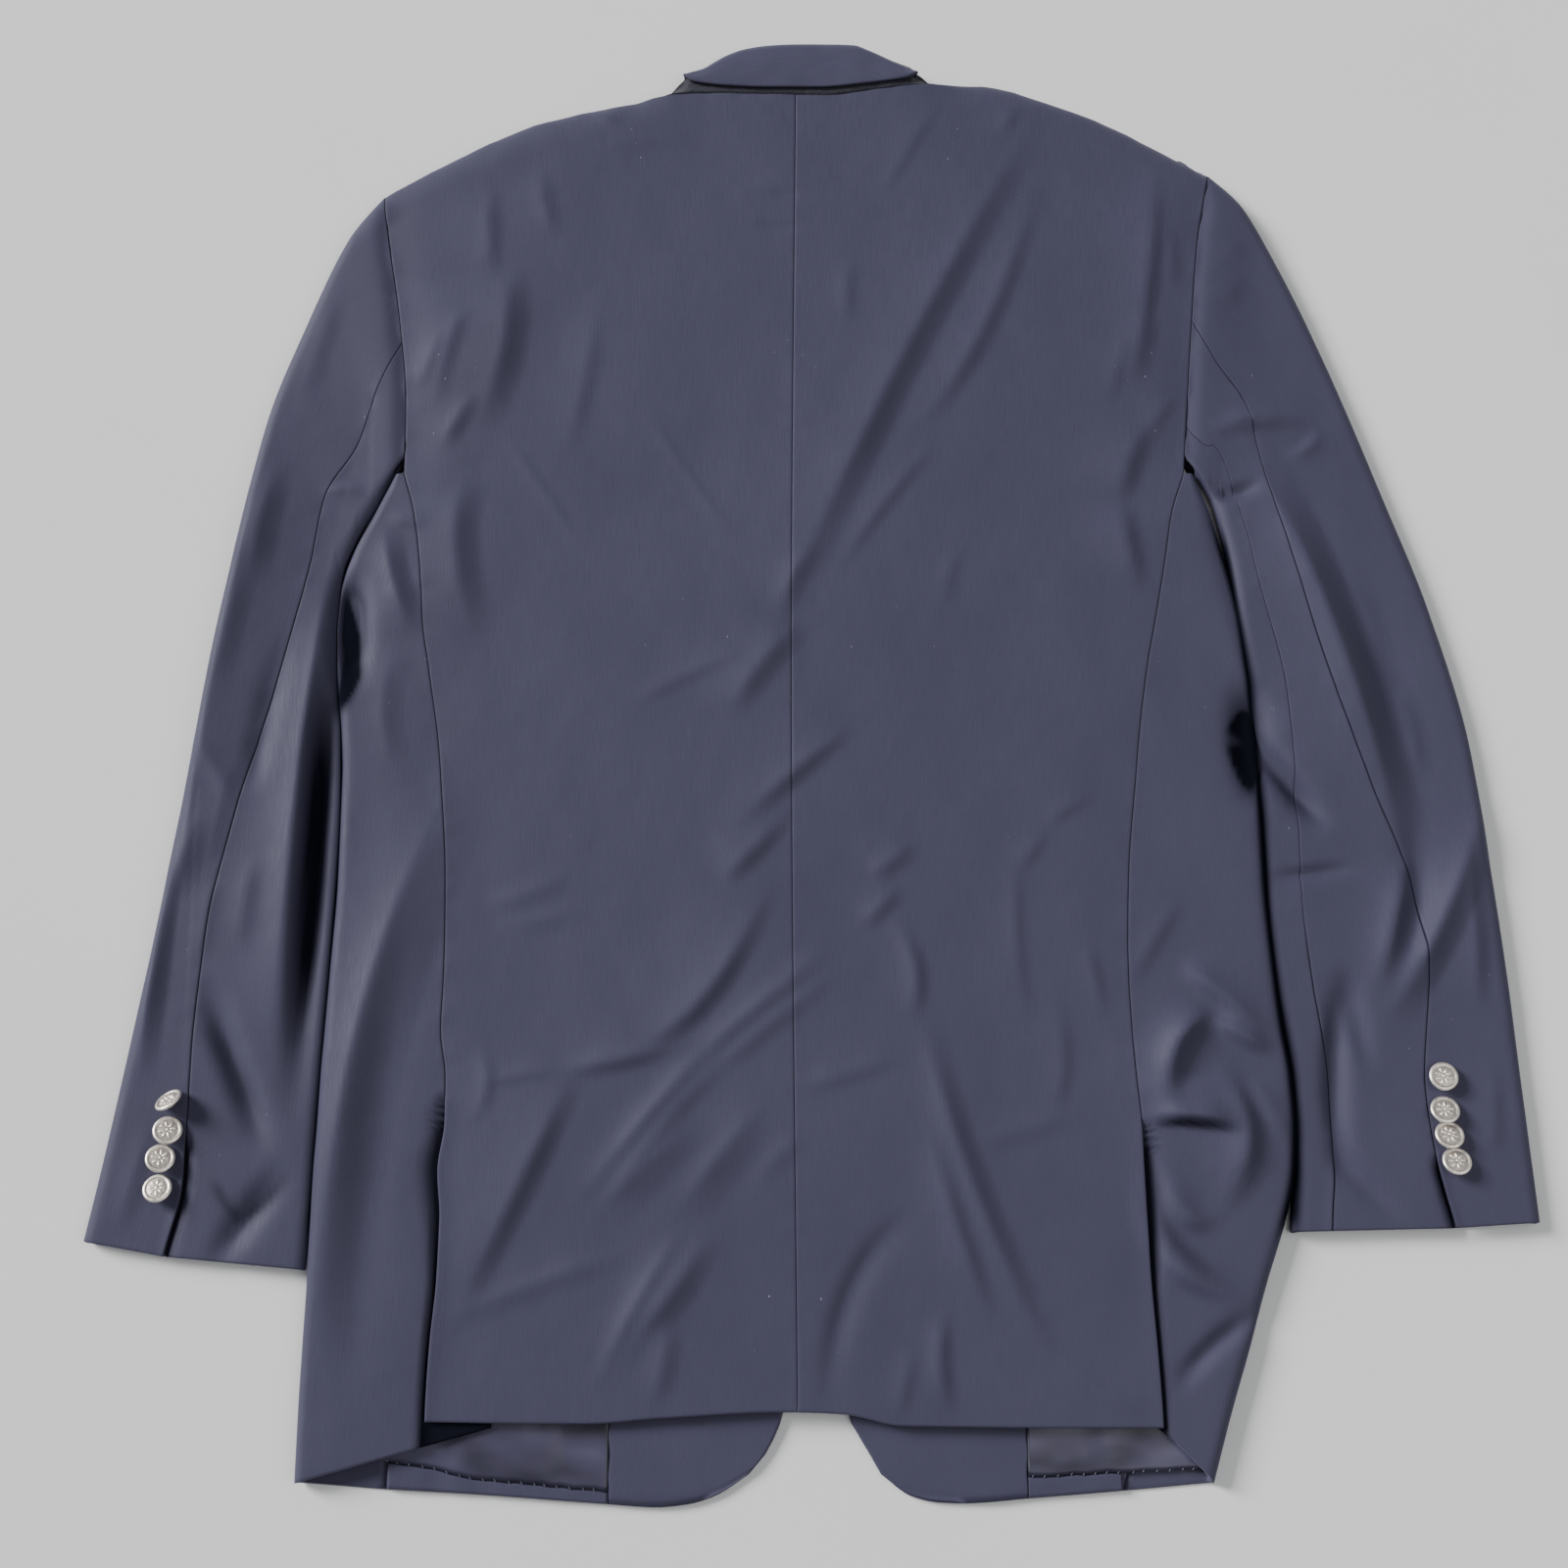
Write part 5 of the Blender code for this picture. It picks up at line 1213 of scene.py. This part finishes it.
# The front sleeve seam, past the inner fold underneath or short of it on top.
FRONT_SLEEVE_SEAM = {"left": 14.0, "right": -15.0}
ARMHOLE_SHARE = 0.10
SLEEVE_CREASES = {
    "left": (
        (-284, -222, -280.5, -90, -277, 14, -7, 7, 7), (-291, -200, -289, -60, -281, 74, 7, 15, 11),
        (-349, -110, -341, 60, -311, 200, 6.5, 14, 50), (-323, 76, -320, 112, -312, 148, 2.2, 12, 10),
        (-316, -48, -311, -10, -300, 46, -2.6, 7, 7), (-350, -14, -338, -34, -322, -56, 1.3, 8, 6),
        (-354, -106, -351, -84, -346, -60, 1.8, 10, 9), (-368, -208, -365, -140, -358, -64, 3.2, 9, 8),
        (-298, -246, -316, -206, -335, -156, -4.6, 6, 7),
        (-323, -309, -306, -284, -287, -257, -3.6, 6, 7),
        (-318, -138, -316, -110, -312, -84, 1.1, 7, 6), (-338, 20, -334, 50, -328, 84, 1.2, 10, 8),
        (-302, 190, -292, 226, -282, 262, 0.9, 10, 8), (-374, -290, -368, -262, -362, -236, 0.9, 7, 7),
        (-340, -90, -334, -62, -330, -34, 0.8, 8, 7), (-342, -150, -338, -122, -336, -96, 0.8, 7, 6),
        (-260, 128, -272, 134, -284, 128, 0.9, 4, 4),
    ),
    "right": (
        (332, -89, 299, 48, 262, 143, 9.5, 32, 17), (345, -100, 336, -6, 300, 96, -1.6, 12, 18),
        (250, -14, 270, -42, 289, -68, -6, 6, 8), (256, -97, 280, -95, 308, -91, -2.2, 4, 4),
        (317, -173, 350, -122, 379, -55, 5, 9, 12), (311, -162, 324, -122, 333, -86, 4.6, 7, 9),
        (322, -154, 338, -110, 340, -62, -2.6, 9, 9), (290, -264, 287, -205, 298, -148, -4.4, 6, 7),
        (283, -244, 298, -263, 319, -286, -2.4, 6, 7), (307, -206, 301, -176, 299, -149, -2.6, 5, 6),
        (236, 170, 262, 177, 297, 174, 2.4, 6, 6), (299, 172, 294, 160, 278, 154, 1.4, 4, 5),
        (232, 141, 247, 131, 264, 140, -3, 4, 4), (236, 254, 246, 258, 259, 256, 1.2, 4, 4),
        (242, 278, 250, 284, 262, 290, 0.8, 5, 5), (366, -172, 369, -130, 368, -84, 1.8, 8, 7),
        (344, -40, 342, -14, 336, 14, 1.4, 7, 7), (330, 30, 322, 56, 310, 84, 1, 8, 8),
        (368, -250, 372, -226, 371, -198, 0.9, 8, 6),
    ),
}
SLEEVE_VENT_Y = {"left": -236.0, "right": -246.0}
SLEEVE_FOLD_REACH = 7.0
SLEEVE_LENGTH = 600.0


def sleeve_section(side, share):
    """Plan points of the outer fold, the back seam and the inner fold at a share of the length."""
    found = {key: at(share) for key, at in curves(SLEEVE, SLEEVE_ROWS[side]).items()}
    outer = stack(found["outer_x"], found["outer_y"])
    seam = stack(found["seam_x"], found["seam_y"])
    inner = stack(found["inner_x"], found["inner_y"])
    return outer, seam, inner, found["height"]


def on_section(girth, outer, seam, inner):
    """Plan points at a girth from the outer fold, through the seam, to the inner fold."""
    first = np.linalg.norm(seam - outer, axis=-1)
    second = np.linalg.norm(inner - seam, axis=-1)
    near = np.clip(girth / first, 0, 1)[..., None]
    far = np.clip((girth - first) / second, 0, 1)[..., None]
    return outer * (1 - near) + seam * near + (inner - seam) * far


def sleeve_plan(side, share, flat, outer, seam, inner):
    """Plan points of a sleeve, whose first section follows the armhole."""
    plan = on_section(flat, outer, seam, inner)
    first = np.linalg.norm(seam - outer, axis=-1)
    second = np.linalg.norm(inner - seam, axis=-1)
    at_start = np.where(flat < first, flat / first * first[0], first[0] + (flat - first) / second * second[0])
    start = on_section(at_start, outer[0], seam[0], inner[0])
    on_armhole = armhole_x[side](start[..., 1]) + SIGN[side] * HALF_SEAM
    above = ease((start[..., 1] - ARMPIT_Y - 2) / 10)
    plan[..., 0] += (on_armhole - start[..., 0]) * above * np.clip(1 - share / ARMHOLE_SHARE, 0, 1)
    return plan


def sleeve_height(side, share, height, x, y):
    """Outer height of a sleeve, which starts level with the body at the armhole."""
    own = height + crease_heights(x, y, SLEEVE_CREASES[side]) + ripples(x + 300, y)
    shared = body_height(x, np.minimum(y, top_edge_y(x) - SHOULDER_REACH), with_folds=False)
    leave = ease(share / 0.14)
    return np.maximum(mix(shared, own, leave) + crease_heights(x, y, HOLLOWS), 2.6)


def skew(fold_line, section):
    """How many times longer a reach gets when measured along slanting sections."""
    run = np.gradient(fold_line, axis=0)
    crossed = np.abs(run[:, 0] * section[:, 1] - run[:, 1] * section[:, 0])
    lengths = np.linalg.norm(run, axis=1) * np.linalg.norm(section, axis=1)
    return np.minimum(lengths / crossed, 3.2)


drops = [round(SLEEVE_ROWS[side][0][2] - SLEEVE_ROWS[side][-1][2]) for side in SIGN]
print("outer folds run", drops, "mm down the picture")

# %% [markdown]
# The panels meet in the back seam, on top, and in the front seam near the inner
# fold. Near the cuff the back seam opens into the vent: the top sleeve's edge,
# with the buttons, lies over the under sleeve, which dips below it.

# %% Sleeve panels
CUFF_VENT_STEP = {"under": -2.1, "top": 0.5}
ELBOW_Y = -150.0    # above it the front seam shows less


def sleeve_panel(part, side, girths, sleeve):
    """One of a sleeve's two panels, over a stretch of the girth."""
    share = sleeve["share"]
    width = sleeve["width"]
    turn = np.mod(girths, 2 * width)
    on_top = turn <= width
    flat = np.where(on_top, turn, 2 * width - turn)
    plan = sleeve_plan(side, share, flat, sleeve["outer"], sleeve["seam"], sleeve["inner"])
    x, y = plan[..., 0], plan[..., 1]
    top = sleeve_height(side, share, sleeve["height"], x, y)
    rims = np.minimum(np.abs(girths - girths[0]), np.abs(girths[-1] - girths))
    back_rim = np.abs(girths - girths[0])
    if part == "top":
        back_rim = np.minimum(back_rim, np.abs(girths - girths[-1]))
    in_vent = ease((SLEEVE_VENT_Y[side] - y) / 14) * ease((60 - np.abs(y + 270)) / 5)
    opening = in_vent * (1 - ease(back_rim / 5.0)) * on_top
    top = top + CUFF_VENT_STEP[part] * opening
    to_cuff = (1 - share) * SLEEVE_LENGTH + 0 * x
    from_start = share * SLEEVE_LENGTH + 0 * x
    high_seam = ease((y - ELBOW_Y) / 40) * (np.abs(girths[-1] - girths) < 4)
    top = top - rolled(rims) * (1 - 0.5 * high_seam) - rolled(to_cuff, 0.9) - rolled(from_start, 0.9)
    top = top + puckers(rims, y, 31, 0.22) + puckers(from_start, y, 32, 0.5)
    middle = top / 2
    at_outer = flat < width / 2
    from_fold = np.where(at_outer, flat, width - flat)
    reach = np.where(at_outer, sleeve["outer_reach"], sleeve["inner_reach"])
    z = middle + np.where(on_top, top - middle, -middle) * roundness(from_fold, reach)
    sheet = np.dstack([plan, z])
    line = 0.5 * np.maximum(inked(rims) * (1 - 0.8 * high_seam), inked(from_start))
    # Painted shade: the under sleeve darkens in the vent's opening, and the cloth darkens in the gap beside
    # the body and in the hollows.
    line = np.maximum(line, opening * 0.9 if part == "under" else 0)
    painted_shade_at_gap = painted_gap_shade(width - flat, y, GAP_SHADE[side][1]) * (flat > width / 2)
    line = np.maximum(line, np.maximum(painted_hollow_shade(x, y) * on_top, painted_shade_at_gap))
    name = "%s_sleeve_%s" % (part, side)
    dress(shell("cloth_" + name, sheet, worsted, seam=line), name, sheet)


def make_sleeve(side):
    share = spaced_shares(SLEEVE_LENGTH, PITCH)
    outer, seam, inner, height = sleeve_section(side, share)
    inner[:, 0] -= SIGN[side] * PRESS[side] * ease((inner[:, 1] + 330) / 60) * ease((110 - inner[:, 1]) / 60)
    first = np.linalg.norm(seam - outer, axis=1)
    width = first + np.linalg.norm(inner - seam, axis=1)
    outer_reach = SLEEVE_FOLD_REACH * skew(outer, seam - outer)
    outer_reach = np.maximum(outer_reach, SHOULDER_REACH * (1 - ease(share / 0.15)))
    inner_reach = SLEEVE_FOLD_REACH * skew(inner, inner - seam)
    sleeve = {"share": share, "width": width, "outer": outer, "seam": seam, "inner": inner, "height": height,
              "outer_reach": outer_reach, "inner_reach": inner_reach}
    turn = FOLD_TURN[:, None]

    def over_fold(fold, reach):
        return fold + np.concatenate([-reach * turn[::-1], reach * turn[1:]])

    def between(low, high, pitch):
        count = max(3, int(round(float(np.mean(high - low)) / pitch)))
        return low + (high - low) * (np.arange(1, count) / count)[:, None]

    over_outer = over_fold(2 * width, outer_reach)
    over_inner = over_fold(width, inner_reach)
    back_seam = (first + HALF_SEAM)[None]
    top_end = (2 * width + first - HALF_SEAM)[None]
    rim = RIM_STEPS[:, None]
    if side == "left":
        front_seam = (width + inner_reach + FRONT_SLEEVE_SEAM[side])[None]
        under = [back_seam + rim, between(back_seam + rim[-1], over_inner[:1], PITCH), over_inner,
                 between(over_inner[-1:], front_seam - rim[-1], 4.0), front_seam - HALF_SEAM - rim[::-1]]
        wrap = [front_seam + HALF_SEAM + rim, between(front_seam + rim[-1], over_outer[:1], 9.0)]
    else:
        front_seam = (width - inner_reach + FRONT_SLEEVE_SEAM[side])[None]
        under = [back_seam + rim, between(back_seam + rim[-1], front_seam - rim[-1], PITCH),
                 front_seam - HALF_SEAM - rim[::-1]]
        wrap = [front_seam + HALF_SEAM + rim, between(front_seam + rim[-1], over_inner[:1], PITCH),
                over_inner, between(over_inner[-1:], over_outer[:1], 9.0)]
    wrap += [over_outer, between(over_outer[-1:], top_end - rim[-1], PITCH), top_end - rim[::-1]]
    sleeve_panel("under", side, np.concatenate(under), sleeve)
    sleeve_panel("top", side, np.concatenate(wrap)[::-1], sleeve)


for side in SIGN:
    make_sleeve(side)

# %% [markdown]
# The collar goes over the back of the neck. Its stand lies underneath, the cloth
# folds at the roll, and the fall comes down on top, so its edge throws a dark
# line on the felt. Towards both ends it narrows and turns down to the lapels.

# %% Collar
COLLAR_ENDS = {"left": -60.0, "right": 53.0}
COLLAR_END = 62.0
FELT_ENDS = (-88.0, 78.0)
FELT_WALL = 1.6
FALL_GAP = 0.2     # between the felt and the fall above it
FALL_WALL = 2.2
FALL_ROWS = (
    (-77, 402.6, 405), (-72, 399, 408), (-65, 397.4, 410.6), (-58, 396.4, 415.6), (-50, 395.6, 420.8),
    (-40, 394.9, 425), (-25, 394.4, 427.8), (-8, 394.3, 428.7), (12, 394.9, 428.8), (28, 396.2, 428),
    (36, 397.2, 424.6), (45, 398.4, 419.8), (52, 399.4, 415.6), (60, 400.8, 411.4), (67, 403.8, 406.6),
)
fall_y, roll_y = curves("lower roll", FALL_ROWS).values()


def felt_height(x, y):
    """Outer height of the felt from the neck seam towards the collar's roll."""
    seam_y = top_edge_y(x)
    return body_height(x, seam_y, with_folds=False) - 0.15 * (y - seam_y)


def make_collar_end(side):
    """The collar's end, from its stand at the neck down to the lapel's gorge seam."""
    sign = SIGN[side]
    gorge = np.array([GORGE, NOTCH], float)
    along = (gorge[1] - gorge[0]) / np.linalg.norm(gorge[1] - gorge[0])
    low = gorge[0] + (0.0, 0.6)
    stand_x = sign * COLLAR_ENDS[side] - 2.0
    neck_x = sign * NECK_X[side]
    inner = curve((0, 0.5, 1), (low[0], neck_x, stand_x)), curve((0, 0.5, 1), (low[1], 383.0, 393.5))
    tip = low + along * COLLAR_END
    outer = curve((0, 0.5, 1), (tip[0], neck_x + 27.0, stand_x)), curve((0, 0.5, 1), (tip[1], 376.0, 403.0))
    steps = spaced_shares(90.0, 3.0)
    shares = spaced_shares(45.0, 3.0)[:, None, None]
    first = np.stack([inner[0](steps), inner[1](steps)], axis=-1)
    second = np.stack([outer[0](steps), outer[1](steps)], axis=-1)
    plan = mix(first[None], second[None], shares) * (sign, 1)
    piece, _ = flat_piece("collar_end_" + side, plan, 0.0, LAPEL, worsted)
    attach(piece, "root")
    return piece


def collar_section(x):
    """Points of the collar at one place: up the fall, round the roll and down the stand."""
    start = float(fall_y(x)) + 0.25 * float(soft_noise(x, 0.0, 9.0, 41))
    roll = float(roll_y(x))
    end = float(top_edge_y(x)) + 1.0
    reach = min(6.0, 0.55 * (roll - start))
    crowded = min(1.0, (roll - reach - start) / 6.0)
    flat = np.linspace(start + RIM_STEPS[-1] * crowded, roll - reach, 12)[1:-1]
    top_y = np.concatenate([start + RIM_STEPS * crowded, flat, roll - reach * FOLD_TURN[::-1]])
    bottom_y = np.concatenate([roll - reach * FOLD_TURN[1:], np.linspace(roll - reach, end, 8)[1:]])
    crown = felt_height(x, top_y) + REST + FALL_GAP + FALL_WALL
    crown = crown + 0.7 * np.sin(np.clip((top_y - start) / (roll - reach - start + 0.1), 0, 1) * math.pi)
    crown = crown + 0.35 * soft_noise(x + 0 * top_y, top_y * 2, 14.0, 42) - rolled(top_y - start, 1.0)
    at_roll = float(felt_height(x, roll - reach)) + REST + FALL_GAP + FALL_WALL
    top_z = at_roll / 2 + (crown - at_roll / 2) * roundness(roll - top_y, reach)
    bottom_z = at_roll / 2 * (1 - roundness(roll - bottom_y, reach))
    y = np.concatenate([top_y, bottom_y])
    return np.stack([np.full(len(y), x), y, np.concatenate([top_z, bottom_z])], axis=1)


def make_collar():
    xs = FALL_ROWS[0][0] + spaced(FALL_ROWS[-1][0] - FALL_ROWS[0][0], 1.6)
    sheet = np.array([collar_section(x) for x in xs]).transpose(1, 0, 2)
    piece = shell("cloth_collar", sheet, worsted)
    ends = [make_collar_end(side) for side in SIGN]
    dress(piece, "collar", sheet)


make_collar()

# %% [markdown]
# Under the fall a strip of felt shows, from the neck seam up into the fold.

# %% Felt strip
def make_felt():
    xs = np.linspace(FELT_ENDS[0], FELT_ENDS[1], 110)
    shares = np.linspace(0, 1, 16)
    ends = NECK_DROP * ease((np.maximum(FELT_ENDS[0] + 12 - xs, xs - FELT_ENDS[1] + 12)) / 12)
    outer = felt_y(xs) - ends
    plan = np.stack([stack(x, mix(top_edge_y(x) + SEAM, far, shares)) for x, far in zip(xs, outer)])
    x, y = plan[..., 0], plan[..., 1]
    fuzz = 0.22 * soft_noise(x, y, 2.2, 51) + 0.25 * soft_noise(x, y, 8.0, 52)
    wave = fuzz - rolled(y - top_edge_y(x), 0.7)
    at_end = ease((FALL_ROWS[0][0] + 4 - x) / 5) + ease((x - FALL_ROWS[-1][0] + 5) / 5)
    # At both ends the felt turns down to the layer below.
    low = felt_height(x, y) - FELT_WALL
    low = low - (low - 3.2) * at_end * ease(1.15 * shares) ** 0.8
    piece, high = flat_piece("felt_under_collar", plan, low, FELT_WALL, felt, None, wave)
    dress(piece, "under_collar", high)


make_felt()

# %% [markdown]
# The lapels are folded back under their fronts and the pocket flaps hang over
# the hips. Nobody sees them until the blazer is picked up, yet they are cut
# and finished in the same worsted as the rest.

# %% Lapels and flaps
FLAP_NEAR_X = 102.0
FLAP_FAR_X = {"left": 250.0, "right": 251.0}
FLAP_TOP_Y = -143.0
FLAP_SLOPE = 6.0 / 148.0
FLAP_DEPTH = 49.0


def make_lapel(side):
    rows = spaced_shares(300.0, 6.0)
    across = spaced_shares(60.0, 4.0)[:, None]
    start_y = BREAK_Y + 20.0
    roll_ys = mix(start_y, GORGE[1], rows)
    edge_ys = mix(start_y, NOTCH[1], rows)
    roll = stack(lapel_roll(roll_ys) + 0.4, roll_ys)
    edge = stack(lapel_edge(edge_ys), edge_ys)
    bottom, top = mix(roll[0], edge[0], across), mix(roll[-1], edge[-1], across)
    plan = patch(roll, edge, bottom, top) * (SIGN[side], 1)
    piece, high = flat_piece("cloth_lapel_" + side, plan, 0.0, LAPEL, worsted)
    dress(piece, "lapel_" + side, high)


def make_flap(side):
    far = FLAP_FAR_X[side]
    xs = FLAP_NEAR_X + spaced(far - FLAP_NEAR_X, 4.0)[::-1]
    down = FLAP_DEPTH * spaced_shares(FLAP_DEPTH, 4.0)[::-1]
    plan = np.stack([stack(x, FLAP_TOP_Y - FLAP_SLOPE * (far - x) - down) for x in xs]) * (SIGN[side], 1)
    piece, high = flat_piece("cloth_flap_" + side, plan, 0.0, WALL, worsted)
    dress(piece, "pocket_flap_" + side, high)


for side in SIGN:
    make_lapel(side)
    make_flap(side)

# %% [markdown]
# A blazer button is a stamped cap over a shank. Its profile is drawn as a line
# and spun round. The face gets a raised rim, a groove and a plain rosette of
# petals, which is a common ornament and catches the light as stamping does.

# %% Buttons
# Buttons on the cuffs: x, y, the tilt from lying flat and the way that the face leans.
CUFF_BUTTON_ROWS = {
    "left": (
        (-350, -221, 52, 120), (-350, -237, 19, 60), (-353, -252, 19, 60), (-353.5, -268, 19, 90),
    ),
    "right": (
        (345, -208, 12, 90), (344.5, -226, 21, 90), (346, -239.5, 21, 90), (349, -253.5, 21, 90),
    ),
}
CUFF_BUTTON = 16.0
FACE_RISE = 1.4    # the crown of a cap above its middle
BUTTON_TWIST = 0.4  # each button is sewn on at another turn
PETALS = 8


def spun(builder, profile, steps=40):
    """Spin a profile of radius and height round the middle."""
    verts = [builder.verts.new((radius * MM, 0.0, height * MM)) for radius, height in profile]
    edges = [builder.edges.new(pair) for pair in zip(verts, verts[1:])]
    bmesh.ops.spin(builder, geom=verts + edges, cent=(0, 0, 0), axis=(0, 0, 1), angle=math.tau, steps=steps,
                   use_merge=True, use_duplicate=False)
    bmesh.ops.remove_doubles(builder, verts=builder.verts[:], dist=0.00001)
    bmesh.ops.recalc_face_normals(builder, faces=builder.faces[:])


def stamped_cap(size):
    """Mesh code for one button of a size, lying flat with its face up."""
    builder = bmesh.new()
    hollow = builder.verts.layers.float.new("hollow")
    rim = size / 2
    spun(builder, ((0.0, 1.15), (rim * 0.25, 1.1), (rim * 0.5, 0.95), (rim * 0.68, 0.72), (rim * 0.74, 0.66),
                   (rim * 0.78, 0.95), (rim * 0.84, 1.05), (rim * 0.94, 0.85), (rim, 0.2), (rim * 0.99, -0.3),
                   (rim * 0.9, -0.9), (2.0, -1.2), (1.8, -4.0), (0.0, -4.0)))
    for vert in builder.verts:
        away = math.hypot(vert.co.x, vert.co.y) / MM / rim
        vert[hollow] = 0.75 * max(0.0, 1 - abs(away - 0.72) / 0.08) + (0.35 if away < 0.6 else 0.0)
    for petal in range(PETALS):
        found = bmesh.ops.create_uvsphere(builder, u_segments=10, v_segments=6, radius=MM)["verts"]
        bmesh.ops.scale(builder, vec=(rim * 0.23, rim * 0.095, 0.42), verts=found)
        bmesh.ops.translate(builder, vec=(rim * 0.38 * MM, 0, 1.02 * MM), verts=found)
        bmesh.ops.rotate(builder, cent=(0, 0, 0), verts=found,
                         matrix=rotation(petal * math.tau / PETALS, "Z"))
    middle = bmesh.ops.create_uvsphere(builder, u_segments=12, v_segments=8, radius=MM)["verts"]
    bmesh.ops.scale(builder, vec=(rim * 0.12, rim * 0.12, 0.5), verts=middle)
    bmesh.ops.translate(builder, vec=(0, 0, 1.2 * MM), verts=middle)
    return builder


def rotation(angle, axis):
    return Matrix.Rotation(angle, 3, axis)


def set_button(name, node, spin_to, tilt, lean, place):
    """Turn a cap in its own mesh, place it and let it stand for its solid."""
    builder = stamped_cap(CUFF_BUTTON)
    turn = rotation(lean, "Z") @ rotation(tilt, "Y") @ rotation(spin_to, "Z")
    bmesh.ops.rotate(builder, cent=(0, 0, 0), matrix=turn, verts=builder.verts[:])
    bmesh.ops.translate(builder, vec=[value * MM for value in place], verts=builder.verts[:])
    for face in builder.faces:
        face.smooth = True
    piece = finished(builder, name, silver)
    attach(piece, "root")
    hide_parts(node)


for side in SIGN:
    for number, (x, y, tilt, lean) in enumerate(CUFF_BUTTON_ROWS[side], start=1):
        node = "cuff_button_%s_%d" % (side, number)
        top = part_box(node)[1][2]
        tilt_angle, lean_angle = math.radians(tilt), math.radians(lean)
        z = top / MM - FACE_RISE * math.cos(tilt_angle) - CUFF_BUTTON / 2 * math.sin(tilt_angle) * 0.98
        name = "stamped_%s_%d" % (side, number)
        set_button(name, node, BUTTON_TWIST * number, tilt_angle, lean_angle, (x, y, z))
print("cuff buttons:", 2 * len(CUFF_BUTTON_ROWS["left"]))

# %% [markdown]
# The two front buttons are flatter, because they are pressed between the fronts
# and the floor. Their solids already have that shape, so they only get the metal.

# %% Front buttons
for number in (1, 2):
    button = frame["nodes"]["front_button_%d" % number]
    button.data.materials.clear()
    button.data.materials.append(silver)

# %% [markdown]
# The hem was felled by hand: a small slanting stitch every few millimetres along
# the lining's edge. Each stitch is a ball with 20 faces, stretched and leaned.

# %% Felling stitches
STITCH_GAP = 6.5
STITCH_FAR_X = {"left": -232.0, "right": 203.0}
STITCH = (0.95, 0.26, 0.22)
STITCH_LEAN = 58    # degrees
STITCH_HEIGHT = 4.35


def felling(side):
    first, last = sorted((STITCH_FAR_X[side], FACING_X[side] + 3 * SIGN[side]))
    xs = np.arange(first, last, STITCH_GAP)
    xs = xs + soft_noise(xs, 0 * xs, 3.0, 61)
    lean = rotation(math.radians(STITCH_LEAN * SIGN[side]), "Z")
    builder = bmesh.new()
    for x in xs:
        y = float(felled_y(side, x)) + 0.3
        found = bmesh.ops.create_icosphere(builder, subdivisions=1, radius=MM)["verts"]
        bmesh.ops.scale(builder, vec=STITCH, verts=found)
        bmesh.ops.rotate(builder, cent=(0, 0, 0), matrix=lean, verts=found)
        bmesh.ops.translate(builder, vec=(x * MM, y * MM, STITCH_HEIGHT * MM), verts=found)
    piece = finished(builder, "felling_" + side, thread)
    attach(piece, "root")
    print("stitches", side, len(xs))


for side in SIGN:
    felling(side)
